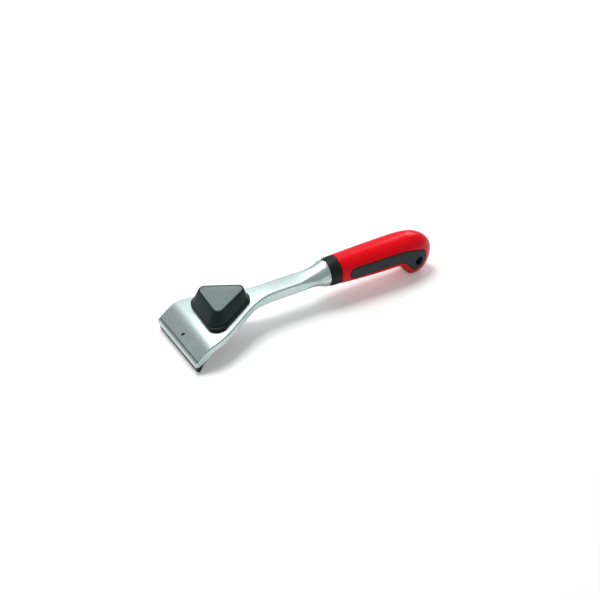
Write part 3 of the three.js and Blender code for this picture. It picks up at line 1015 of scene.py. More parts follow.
@dataclass
class Head:
    """The die-cast head and neck, in millimetres."""

    width: float = 66
    lip_height: float = 5.4
    lip_corner: float = 1
    lip_round: float = 0.7
    plate_slope: float = 40
    plate_run: float = 13.8
    plate_thickness: float = 3
    bend_ease: float = 5
    plateau_slope: float = 9.2
    plateau_run: float = 61.7
    plateau_wall: float = 3.2
    rim_depth: float = 6
    rim_width: float = 3.5
    nose_setback: float = 0.25
    nose_inset: float = 1
    cheek_depth: float = 5.5
    cheek_wall: float = 0.41
    cheek_inset: float = 0.44
    cheek_front: float = 0.9
    cheek_toe: float = 2.2
    cheek_bend: float = 5.6
    cheek_bend_rise: float = 0.5
    cheek_rise: float = 0.15
    cheek_overlap: float = 3
    cheek_rim_lap: float = 0.4
    groove_from_lip: float = 2.1
    groove_half: float = 0.4
    groove_depth: float = 0.95
    # Depth below the plate's face at which the painted shade in the groove and the pin hole begins
    painted_shade_start: float = 0.2
    edge_round: float = 2
    keel_round: float = 0.8
    length: float = 82
    shoulder_ease: float = 22
    waist_ease: float = 26
    crest_ease: float = 12
    neck_length: float = 22
    neck_width: float = 16.2
    neck_depth: float = 9.2
    neck_round: float = 1.7
    flare_length: float = 25.8
    ferrule_length: float = 3
    ferrule_radius: float = 10.9
    ferrule_round: float = 0.35
    axis: float = 26.8
    pocket_front: float = -0.5
    pocket_length: float = 64
    bolt_from_lip: float = 38.2
    bolt_hole: float = 8.8
    pin_from_lip: float = 5.8
    pin_hole: float = 3.2
    pin_hole_chamfer: float = 0.35
    pin_sides: int = 32
    margin: float = 0.05
    plate: Slope = field(init=False)
    plateau: Slope = field(init=False)

    def __post_init__(self) -> None:
        """Lay out the two straight lines of the side view."""
        rise = math.radians(self.plate_slope)
        lip_top = self.lip_height + self.plate_thickness / math.cos(rise)
        self.plate = Slope(0, lip_top, self.plate_slope)
        self.plateau = Slope(self.plate_run, lip_top + self.plate_run * math.tan(rise), self.plateau_slope)

    @property
    def crest(self) -> float:
        """Length from the lip to the crest of the plateau."""
        return self.plate_run + self.plateau_run

    @property
    def neck_top(self) -> float:
        """Height of the neck."""
        return self.plateau.over(self.crest).y

    @property
    def flare(self) -> float:
        """Length from the lip to the start of the flare."""
        return self.length + self.neck_length

    @property
    def ferrule(self) -> float:
        """Length from the lip to the round ferrule."""
        return self.flare + self.flare_length

    def square_frame(self, x: float, seat: Slope) -> Matrix:
        """Find the frame on a slope whose Z axis is square to the plateau.

        Args:
            x: Length from the lip.
            seat: The slope.

        Returns:
            The frame.
        """
        place = seat.over(x)
        tilt = Matrix.Rotation(-math.radians(self.plateau_slope), 4, "Y")
        return Matrix.Translation(spot(place.x, 0, place.y)) @ tilt

    def bolt_frame(self) -> Matrix:
        """Return the frame of the clamp bolt, on the plateau."""
        return self.square_frame(self.bolt_from_lip, self.plateau)

    def pin_frame(self) -> Matrix:
        """Return the frame of the locating pin, on the front plate."""
        return self.square_frame(self.pin_from_lip, self.plate)

    def flared(self, line: Outline, neck: float, end: float) -> Outline:
        """Run a line along the neck at one height or half-width, and flare it out to the ferrule's."""
        line.to((self.flare, neck))
        return line.to((self.flare + self.flare_length / 2, neck), (self.ferrule, end))

    def plan(self) -> Outline:
        """Draw the half-width along the head and neck.

        Returns:
            The line.
        """
        wide, slim = self.width / 2, self.neck_width / 2
        shoulder, waist = self.plate_run + self.shoulder_ease, self.length - self.waist_ease
        line = Outline(0, wide).to((self.plate_run, wide))
        line.to((shoulder, wide), (waist, slim), (self.length, slim))
        return self.flared(line, slim, self.ferrule_radius)

    def crown(self) -> Outline:
        """Draw the upper line of the side view.

        Returns:
            The line.
        """
        before = self.plate.over(self.plate_run - self.bend_ease)
        after = self.plateau.over(self.plate_run + self.bend_ease)
        rise = self.plateau.over(self.crest - self.crest_ease)
        line = Outline(0, self.plate.z).to(before)
        line.to((self.plateau.x, self.plateau.z), after).to(rise)
        line.to((self.crest, self.neck_top), (self.crest + self.crest_ease, self.neck_top))
        return self.flared(line, self.neck_top, self.axis + self.ferrule_radius)

    def keel(self) -> Outline:
        """Draw the lower line of the side view.

        Returns:
            The line.
        """
        rim = self.plateau.below(self.rim_depth)
        corner = self.plate.below(self.plate_thickness).meet(rim)
        end = rim.over(self.pocket_length)
        low = self.neck_top - self.neck_depth
        middle = (end.x + self.length) / 2
        line = Outline(0, self.lip_height).to(corner).to(end)
        line.to((middle, end.y), (middle, low), (self.length, low))
        return self.flared(line, low, self.axis - self.ferrule_radius)

    def ring(self, section: Section) -> list[Corner]:
        """Round the corners of the casting's section.

        Args:
            section: The section.

        Returns:
            Its four corners.
        """
        sliver = 0.002
        x, widest = section.x, section.half - sliver
        flare = eased(self.flare, self.ferrule, x)
        neck = min(max((x - self.crest) / (self.length - self.crest), 0), 1)
        front = mixed(self.lip_corner, self.edge_round, eased(0, self.plate_run + self.bend_ease, x))
        upper = min(mixed(mixed(front, self.neck_round, neck), self.ferrule_radius, flare), widest)
        lower = min(mixed(mixed(self.keel_round, self.neck_round, neck), self.ferrule_radius, flare), widest)
        return [
            Corner(spot(x, side.value * (section.half - radius), z), radius * MM)
            for side in Side
            for radius, z in ((upper, section.high - upper), (lower, section.low + lower))
        ]

    def skin(self) -> Piece:
        """Pull the outer skin of the casting out from the lip to the ferrule.

        Returns:
            The closed skin.
        """
        plan, crown, keel = self.plan(), self.crown(), self.keel()
        bend = (self.plate_run - self.bend_ease, self.plate_run + self.bend_ease)
        stations = steps(0, bend[0], 3) + steps(*bend, 20)[1:] + steps(bend[1], self.flare, 64)[1:]
        stations += steps(self.flare, self.ferrule, 24)[1:] + [self.ferrule + self.ferrule_length]
        rings = [self.ring(Section(x, plan.at(x), keel.at(x), crown.at(x))) for x in stations]
        arc = 9
        half_step = math.pi / (arc * len(rings[0]))
        skin = CornerSkin("head_shell", rings[0], (math.pi / 2, half_step, math.pi / 2), arc)
        for ring in rings[1:]:
            skin.pull(ring)
        return skin.finish()

    def inner_block(self, name: str, start: float, inset: float) -> Piece:
        """Make a tall block that follows the plan of the head inside its sides.

        Args:
            name: Name of the block.
            start: Length from the lip at which it begins.
            inset: Distance from the head's sides.

        Returns:
            The block, through the whole height.
        """
        plan = self.plan()
        row = [Vector((x, plan.at(x) - inset)) for x in steps(start, self.pocket_length, 30)]
        corners = [spot(p.x, -p.y, -DRILL) for p in row] + [spot(p.x, p.y, -DRILL) for p in reversed(row)]
        return Bench.prism(name, corners, Vector((0, 0, 2.5 * DRILL * MM)))

    def pocket(self) -> Piece:
        """Make the hollow under the head.

        Returns:
            A solid to cut away.
        """
        hollow = self.inner_block("head_hollow", self.pocket_front, self.rim_width)
        Bench.edit(hollow)
        skin = 0.02
        front = self.plate.below(self.plate_thickness + skin)
        for ceiling in (front, self.plateau.below(self.plateau_wall)):
            Bench.slice_off(spot(ceiling.x, 0, ceiling.z), Vector((ceiling.up.x, 0, ceiling.up.y)))
        Bench.close_up(hollow)
        return hollow

    def nose(self, seat: Slope) -> Piece:
        """Make the nose under the lip.

        Args:
            seat: Line of the face that the blade leans on.

        Returns:
            A solid to join on.
        """
        middle = self.plate.below(self.plate_thickness / 2)
        level = Slope(0, self.lip_height, 0)
        front = self.nose_setback
        outline = [level.over(front), seat.meet(level), seat.meet(middle), middle.over(front)]
        return Bench.bar("nose", outline, self.width / 2 - self.nose_inset)

    def cheek(self, side: Side) -> Piece:
        """Make the thin cheek that carries the rim forward over one end of the blade.

        Args:
            side: Side of the head.

        Returns:
            A solid to join on.
        """
        inside, foot = self.plate.below(self.plate_thickness / 2), self.plate.below(self.cheek_depth)
        rim = self.plateau.below(self.rim_depth - self.cheek_rim_lap)
        start, end = self.lip_height + self.cheek_rise, self.plate_run + self.cheek_overlap
        outline = [
            Vector((self.cheek_front, start)),
            Vector((self.cheek_toe, start)),
            foot.over(self.cheek_bend) + Vector((0, self.cheek_bend_rise)),
            foot.meet(rim),
            rim.over(end),
            self.plateau.below(self.plate_thickness).over(end),
            inside.over(self.plate_run),
            inside.over(self.cheek_front),
        ]
        near = side.value * (self.width / 2 - self.cheek_inset)
        corners = [spot(p.x, near, p.y) for p in outline]
        sweep = Vector((0, side.value * self.cheek_wall * MM, 0))
        return Bench.prism(f"cheek_{side.name.lower()}", corners, sweep)

    def groove(self) -> Piece:
        """Make the fine groove along the lip.

        Returns:
            A solid to cut away.
        """
        middle = self.plate.along(self.groove_from_lip)
        along, deep = self.plate.way * self.groove_half, self.plate.up * self.groove_depth
        ways = (along - deep, along + deep, deep - along, -along - deep)
        return Bench.bar("lip_groove", [middle + way for way in ways], self.width)

    def soften_rims(self, shell: Piece) -> None:
        """Round the front edge of the lip and the edge of the ferrule.

        Args:
            shell: The casting's skin.
        """
        front, top = spot(0, 0, 0).x, (self.plate.z - self.lip_corner - self.margin) * MM
        Bench.edit(shell)
        Bench.pick(shell, lambda co: abs(co.x - front) < NEAR and co.z > top)
        Bench.round_over(self.lip_round, 4)
        Bench.pick_level(shell, Axis.LENGTH, spot(self.ferrule + self.ferrule_length, 0, 0).x)
        Bench.round_over(self.ferrule_round, 3)
        Bench.hold(shell)

    def chamfer_pin_hole(self, shell: Piece) -> None:
        """Break the upper edge of the hole for the locating pin.

        Args:
            shell: The casting, with its hole.
        """
        middle = self.pin_frame().translation
        up = Vector((self.plate.up.x, 0, self.plate.up.y))
        reach, skin = (self.pin_hole / 2 + 0.6) * MM, 0.02 * MM
        Bench.edit(shell)
        Bench.pick(shell, lambda co: (co - middle).length < reach and abs((co - middle).dot(up)) < skin)
        Bench.round_over(self.pin_hole_chamfer, 1)
        bpy.ops.mesh.region_to_loop()
        bpy.ops.mesh.mark_sharp()
        Bench.hold(shell)

    def gets_painted_shade(self, centre: Vector) -> bool:
        """Tell the faces inside the lip's groove and the pin's hole, which get painted shade: a dark finish
        that stands in for the shade in these recesses.

        Args:
            centre: Centre of a face.

        Returns:
            Whether the face is one of them.
        """
        groove = self.plate.along(self.groove_from_lip)
        offset = Vector((centre.x / MM + HALF_LENGTH, centre.z / MM)) - groove
        local = self.pin_frame().inverted() @ centre / MM
        in_groove = abs(offset.dot(self.plate.way)) < self.groove_half + self.margin
        in_hole = math.hypot(local.x, local.y) < self.pin_hole / 2 + self.margin
        sunk = -self.plate_thickness < offset.dot(self.plate.up) < -self.painted_shade_start
        return (in_groove or in_hole) and sunk

    def build(self, seat: Slope) -> None:
        """Build and dress the casting.

        Args:
            seat: Line of the face that the blade leans on.
        """
        shell = self.skin()
        self.soften_rims(shell)
        Bench.cut(shell, self.nose(seat), Cut.JOIN)
        Bench.cut(shell, self.pocket())
        for side in Side:
            Bench.cut(shell, self.cheek(side), Cut.JOIN)
        Bench.cut(shell, self.groove())
        Bench.drill(shell, self.bolt_hole, self.bolt_frame())
        Bench.drill(shell, self.pin_hole, self.pin_frame(), self.pin_sides)
        self.chamfer_pin_hole(shell)
        Bench.smooth(shell, 32)
        CAST_ALUMINIUM.coat_piece(shell)
        # Painted shade on the faces inside the lip's groove and the pin's hole
        PAINTED_SHADE_IN_HOLLOWS.coat_faces(shell, lambda centre, normal: self.gets_painted_shade(centre))
        finish_piece(shell, Body.HEAD, None, "head_casting")


@dataclass
class BladeClamp:
    """The blade, the jaw that clamps it, the locating pin and the nut, in millimetres."""

    head: Head
    blade_inset: float = 0.5
    blade_length: float = 10.2
    blade_thickness: float = 2.5
    blade_slope: float = 60
    blade_round: float = 0.14
    edge_setback: float = 3.3
    jaw_thickness: float = 2.6
    jaw_gap: float = 0.8
    jaw_clearance: float = 1.2
    jaw_heel: float = 4
    jaw_round: float = 0.25
    pin_diameter: float = 2.6
    pin_sunk: float = 1
    pin_in_blade: float = 1.6
    pin_round: float = 0.3
    nut_across: float = 13
    nut_depth: float = 6.5
    nut_chamfer: float = 0.9
    fit: float = 0.3
    running_gap: float = 0.4

    @property
    def blade_width(self) -> float:
        """Width of the blade and of the jaw's ears."""
        return self.head.width - 2 * self.blade_inset

    @property
    def jaw_depth(self) -> float:
        """Depth of the jaw's upper face below the plate and the plateau."""
        return max(self.head.plate_thickness, self.head.plateau_wall) + self.jaw_gap

    @property
    def jaw_under(self) -> float:
        """Depth of the jaw's lower face below the plate and the plateau."""
        return self.jaw_depth + self.jaw_thickness

    @property
    def pin_clearance(self) -> float:
        """Diameter of the notch and the hole that the pin enters."""
        return self.pin_diameter + 2 * self.running_gap

    def blade_face(self, back: float) -> Slope:
        """Return the line of a blade face, a distance behind its back face."""
        return Slope(self.edge_setback, 0, self.blade_slope).below(back)

    def seat(self) -> Slope:
        """Return the line of the nose face that the blade leans on."""
        return self.blade_face(-self.blade_thickness - self.fit)

    def pin_depth(self) -> float:
        """Work out how deep the pin goes.

        Returns:
            Depth of its end below the plate.
        """
        top = self.head.plate.over(self.head.pin_from_lip)
        axis = Slope(top.x, top.y, self.head.plateau_slope - 90)
        end = self.blade_face(0).along(self.blade_length)
        crossing = axis.meet(Slope(end.x, end.y, self.blade_slope - 90))
        return (crossing - top).length + self.pin_in_blade

    def blade(self) -> None:
        """Build the flat blade with its ground edge and the notch for the pin."""
        back, front = self.blade_face(0), self.blade_face(-self.blade_thickness)
        long = self.blade_length
        outline = [back.along(0), back.along(long), front.along(long), front.along(0)]
        strip = Bench.bar("blade_strip", outline, self.blade_width / 2)
        Bench.soften(strip, self.blade_round, 2)
        low = -self.pin_depth() - self.fit
        Bench.drill(strip, self.pin_clearance, self.head.pin_frame(), self.head.pin_sides, low)
        Bench.smooth(strip)
        BLACK_STEEL.coat_piece(strip)
        GROUND_STEEL.coat_faces(strip, lambda centre, normal: self.is_ground(normal))
        finish_piece(strip, Body.HEAD, None, "scraper_blade")

    def is_ground(self, normal: Vector) -> bool:
        """Tell the ground lower face of the blade from its blackened ones."""
        way = self.blade_face(0).way
        return normal.dot(Vector((-way.x, 0, -way.y))) > 0.9

    def jaw(self) -> None:
        """Build the bent jaw with its ears behind the blade."""
        plate, plateau = self.head.plate, self.head.plateau
        leg_top, leg_under = plate.below(self.jaw_depth), plate.below(self.jaw_under)
        flat_top, flat_under = plateau.below(self.jaw_depth), plateau.below(self.jaw_under)
        heel = plateau.below(self.head.plateau_wall + self.fit)
        end = self.head.pocket_length - self.jaw_clearance
        outline = [
            leg_under.meet(self.blade_face(self.fit)),
            leg_under.meet(flat_under),
            flat_under.over(end),
            heel.over(end),
            heel.over(end - self.jaw_heel),
            flat_top.over(end - self.jaw_heel),
            leg_top.meet(flat_top),
            leg_top.meet(self.blade_face(self.fit)),
        ]
        jaw = Bench.bar("jaw_plate", outline, self.head.width / 2)
        Bench.cut(jaw, self.jaw_space(leg_under), Cut.KEEP)
        Bench.drill(jaw, self.head.bolt_hole, self.head.bolt_frame())
        Bench.drill(jaw, self.pin_clearance, self.head.pin_frame(), self.head.pin_sides)
        Bench.soften(jaw, self.jaw_round, 2, 40)
        Bench.smooth(jaw)
        finish_piece(jaw, Body.CLAMP, PLATED_STEEL, "clamp_jaw")

    def jaw_space(self, leg_under: Slope) -> Piece:
        """Make the space that the jaw may fill: inside the rim, and full width under it behind the blade.

        Args:
            leg_under: Lower line of the jaw's leg.

        Returns:
            A solid to keep what lies in it.
        """
        inside = self.head.inner_block("jaw_plan", 0, self.head.rim_width + self.jaw_clearance)
        under_rim = self.head.plateau.below(self.head.rim_depth + self.fit)
        end, low = leg_under.meet(under_rim), 1 - DRILL
        outline = [under_rim.over(-DRILL), Vector((-DRILL, low)), Vector((end.x, low)), end]
        Bench.cut(inside, Bench.bar("jaw_ears", outline, self.blade_width / 2), Cut.JOIN)
        return inside

    def pin(self) -> None:
        """Build the locating pin with rounded ends."""
        lean = math.radians(self.head.plate_slope - self.head.plateau_slope)
        top = -self.pin_sunk - self.pin_diameter / 2 * math.tan(lean)
        frame, sides = self.head.pin_frame(), self.head.pin_sides
        pin = Bench.rod("pin", self.pin_diameter, -self.pin_depth(), top, frame, sides)
        Bench.soften(pin, self.pin_round, 3)
        Bench.smooth(pin, 40)
        finish_piece(pin, Body.HEAD, PLATED_STEEL, "locating_pin")

    def nut(self) -> None:
        """Build the nut with its chamfered corners and its bore."""
        top = -(self.jaw_under + self.fit)
        low = top - self.nut_depth
        frame = self.head.bolt_frame()
        corners = self.nut_across * 2 / math.sqrt(3)
        nut = Bench.rod("nut", corners, low, top, frame @ Matrix.Rotation(math.radians(30), 4, "Z"), 6)
        turned = Bench.rod("nut_turning", corners * 0.995, low, top, frame, 64)
        Bench.soften(turned, self.nut_chamfer, 1)
        Bench.cut(nut, turned, Cut.KEEP)
        Bench.drill(nut, self.head.bolt_hole, frame)
        Bench.smooth(nut, 25)
        finish_piece(nut, Body.CLAMP, PLATED_STEEL, "clamp_nut")

    def build(self) -> None:
        """Build every piece of the clamp."""
        for make in (self.blade, self.jaw, self.pin, self.nut):
            make()


@dataclass
class PressureKnob:
    """The three-cornered knob with its base, cap and bolt, in millimetres above the plateau."""

    head: Head
    clamp: BladeClamp
    turn: float = -3
    height: float = 14.37
    lean: float = 3
    tilt: float = 3.9
    foot: float = 16.8
    foot_round: float = 0.6
    top: float = 12.5
    corner: float = 5.3
    edge: float = 0.7
    base_height: float = 3.2
    base_margin: float = 0.3
    base_corner: float = 8.6
    base_round: float = 0.3
    floor: float = 2.4
    cap_across: float = 11.3
    cap_thickness: float = 1.7
    cap_dish: float = 0.5
    bolt_diameter: float = 8
    bolt_past_nut: float = 2.9
    bolt_head_across: float = 13
    bolt_head_height: float = 5.3
    bolt_head_lap: float = 0.2
    point_taper: float = 0.9
    point_length: float = 0.8
    point_step: float = 0.1
    thread_pitch: float = 1.25
    thread_depth: float = 0.62
    root_flat: float = 0.12
    crest_flat: float = 0.1
    fit: float = 0.3
    # Insets and depths of the rings that round the cap's edge
    cap_edge: tuple[tuple[float, float], ...] = ((0, 0.35), (0.05, 0.17), (0.17, 0.05), (0.35, 0))
    # Sizes of the rings that sink the cap's dish, as shares of its face
    dish_rings: tuple[float, ...] = (0.97, 0.93, 0.88, 0.82, 0.76, 0.7, 0.63, 0.55, 0.45, 0.3, 0.15)

    def frame(self) -> Matrix:
        """Return the frame of the knob, on the plateau."""
        return self.head.bolt_frame() @ Matrix.Rotation(math.radians(self.turn), 4, "Z")

    def body_low(self) -> float:
        """Return the height of the body's foot."""
        return self.base_height + 2 * self.fit

    def ring(self, across: float, radius: float, z: float) -> list[Corner]:
        """Lay out a ring with three rounded corners.

        Args:
            across: Distance from the axis to a flat side.
            radius: Radius of the corners.
            z: Height.

        Returns:
            The corners, one towards the handle.
        """
        reach = 2 * (across - radius)
        ways = [math.radians(120 * third) for third in range(3)]
        centres = [Vector((reach * math.cos(way), reach * math.sin(way), z)) for way in ways]
        return [Corner(centre * MM, radius * MM) for centre in centres]

    def wall_ring(self, across: float, z: float) -> list[Corner]:
        """Return a ring of the body, whose corners keep their centres at every height."""
        return self.ring(across, self.corner + across - self.top, z)

    def skin(self, name: str, rings: Sequence[list[Corner]]) -> CornerSkin:
        """Pull a skin through rings, upwards.

        Args:
            name: Name of the piece.
            rings: The rings.

        Returns:
            The skin, still open.
        """
        arc = 14
        half_step = math.pi / (arc * len(rings[0]))
        skin = CornerSkin(name, rings[0], (0, 0, half_step - math.pi / 2), arc)
        for ring in rings[1:]:
            skin.pull(ring)
        return skin

    def tip_top(self, piece: Piece, above: float) -> None:
        """Set back and tip the upper part of a piece.

        Args:
            piece: The piece, at the origin.
            above: Height above which it is tipped.
        """
        Bench.edit(piece)
        Bench.pick(piece, lambda co: co.z > above * MM)
        Bench.turn(self.tilt, "Y", Vector((0, 0, self.height * MM)))
        Bench.move(Vector((self.lean * MM, 0, 0)))
        Bench.hold(piece)

    def body(self) -> None:
        """Build the body of the knob with the seat of its cap."""
        low, seat = self.body_low(), self.cap_across + self.fit
        rings = [self.wall_ring(self.foot, low), self.wall_ring(self.top, self.height)]
        body = self.skin("knob_shell", rings).finish()
        self.tip_top(body, low + 1)
        Bench.edit(body)
        Bench.pick_faces(body, lambda centre, normal: normal.z > 0.9)
        bpy.ops.mesh.inset(thickness=(self.top - seat) * MM, use_even_offset=True)
        sunk = -(self.cap_thickness + self.fit) * MM
        bpy.ops.mesh.extrude_region_shrink_fatten(TRANSFORM_OT_shrink_fatten={"value": sunk})
        self.round_rims(body, low)
        Bench.smooth(body, 40)
        Bench.place(body, self.frame())
        finish_piece(body, Body.KNOB, KNOB_PLASTIC, "knob_body")

    def round_rims(self, body: Piece, low: float) -> None:
        """Round the outer top edge and the foot edge of the body.

        Args:
            body: The body, in edit mode.
            low: Height of its foot.
        """
        tip = Matrix.Rotation(math.radians(self.tilt), 3, "Y") @ Vector((0, 0, 1))
        peak = Vector((self.lean, 0, self.height)) * MM
        level = 0.02 * MM
        Bench.pick(body, lambda co: abs((co - peak).dot(tip)) < level and self.is_outer(co - peak))
        Bench.round_over(self.edge, 5)
        Bench.pick_level(body, Axis.HEIGHT, low * MM)
        Bench.round_over(self.foot_round, 4)
        Bench.close_up(body)

    def is_outer(self, offset: Vector) -> bool:
        """Tell the outer edge of the body's top from the edge of the cap's seat.

        Args:
            offset: Place of a vertex from the middle of the top.

        Returns:
            Whether it lies outside the seat.
        """
        ways = [math.radians(60 + 120 * third) for third in range(3)]
        flats = max(offset.x * math.cos(w) + offset.y * math.sin(w) for w in ways)
        far = math.hypot(offset.x, offset.y) > (self.cap_across * 2 - self.corner + 2) * MM
        return flats > (self.cap_across + 2 * self.fit) * MM or far

    def cap(self) -> None:
        """Build the paler cover with its shallow dish."""
        top, across = self.height, self.cap_across
        rings = [self.wall_ring(across, top - self.cap_thickness)]
        rings += [self.wall_ring(across - inset, top - depth) for inset, depth in self.cap_edge]
        skin = self.skin("knob_cover", rings)
        peak, depth, size = Vector((0, 0, top * MM)), 0.0, 1.0
        for share in self.dish_rings:
            sunk = self.cap_dish * eased(0, 0.4, self.dish_rings[0] - share)
            Bench.extrude(Vector((0, 0, (depth - sunk) * MM)))
            Bench.scale((share / size, share / size, 1), peak)
            depth, size = sunk, share
        skin.last = Bench.picked(skin.piece)
        cover = skin.finish()
        self.tip_top(cover, 0)
        Bench.smooth(cover, 50)
        Bench.place(cover, self.frame())
        finish_piece(cover, Body.KNOB, CAP_PLASTIC, "knob_cap")

    def base(self) -> None:
        """Build the black foot of the knob."""
        across, low, high = self.foot + self.base_margin, self.fit, self.fit + self.base_height
        rings = [self.ring(across, self.base_corner, z) for z in (low, high)]
        base = self.skin("knob_foot", rings).finish()
        Bench.edit(base)
        Bench.pick_level(base, Axis.HEIGHT, high * MM)
        Bench.round_over(self.edge, 4)
        Bench.pick_level(base, Axis.HEIGHT, low * MM)
        Bench.round_over(self.base_round, 2)
        Bench.close_up(base)
        Bench.smooth(base, 40)
        Bench.place(base, self.frame())
        finish_piece(base, Body.KNOB, BLACK_PLASTIC, "knob_base")

    def thread(self, start: float, end: float) -> list[tuple[float, float]]:
        """Lay out the rings of the bolt's thread.

        Args:
            start: Height of the first crest.
            end: Height that the last crest reaches.

        Returns:
            Height and radius of each row.
        """
        radius, crest = self.bolt_diameter / 2, start
        rows = []
        while crest < end:
            root = crest + self.thread_pitch / 2
            crest += self.thread_pitch
            bottom = (root, self.root_flat, radius - self.thread_depth)
            for middle, flat, size in (bottom, (crest, self.crest_flat, radius)):
                rows += [(middle - flat, size), (middle + flat, size)]
        return rows

    def bolt(self) -> None:
        """Build the clamp bolt with its head in the knob and its thread through the nut."""
        clamp, radius = self.clamp, self.bolt_diameter / 2
        end = clamp.jaw_under + self.fit + clamp.nut_depth + self.bolt_past_nut
        head_low = self.body_low() + self.floor + self.fit
        height, size = -end, radius - self.point_taper
        Bench.clear()
        bpy.ops.mesh.primitive_circle_add(vertices=32, radius=size * MM, location=(0, 0, height * MM))
        bolt = Bench.settle("bolt")
        Bench.edit(bolt)
        Bench.take_all()
        start = self.point_length - end
        rows = [(start, radius - self.point_step), *self.thread(start, -clamp.jaw_depth), (head_low, radius)]
        for level, wide in rows:
            Bench.extrude(Vector((0, 0, (level - height) * MM)))
            Bench.scale((wide / size, wide / size, 1), Vector((0, 0, level * MM)))
            height, size = level, wide
        for level in (-end, head_low):
            Bench.pick_level(bolt, Axis.HEIGHT, level * MM)
            bpy.ops.mesh.edge_face_add()
        Bench.close_up(bolt)
        corners = self.bolt_head_across * 2 / math.sqrt(3)
        low, high = head_low - self.bolt_head_lap, head_low + self.bolt_head_height
        Bench.cut(bolt, Bench.rod("bolt_head", corners, low, high, Matrix(), 6), Cut.JOIN)
        Bench.smooth(bolt, 30)
        Bench.place(bolt, self.frame())
        finish_piece(bolt, Body.KNOB, PLATED_STEEL, "clamp_bolt")

    def build(self) -> None:
        """Build every piece of the knob."""
        for make in (self.base, self.body, self.cap, self.bolt):
            make()


@dataclass(frozen=True)
class Row:
    """A row across a soft panel: its middle in the side view, the panel's direction, its half-width."""

    place: Vector
    way: Vector
    half: float


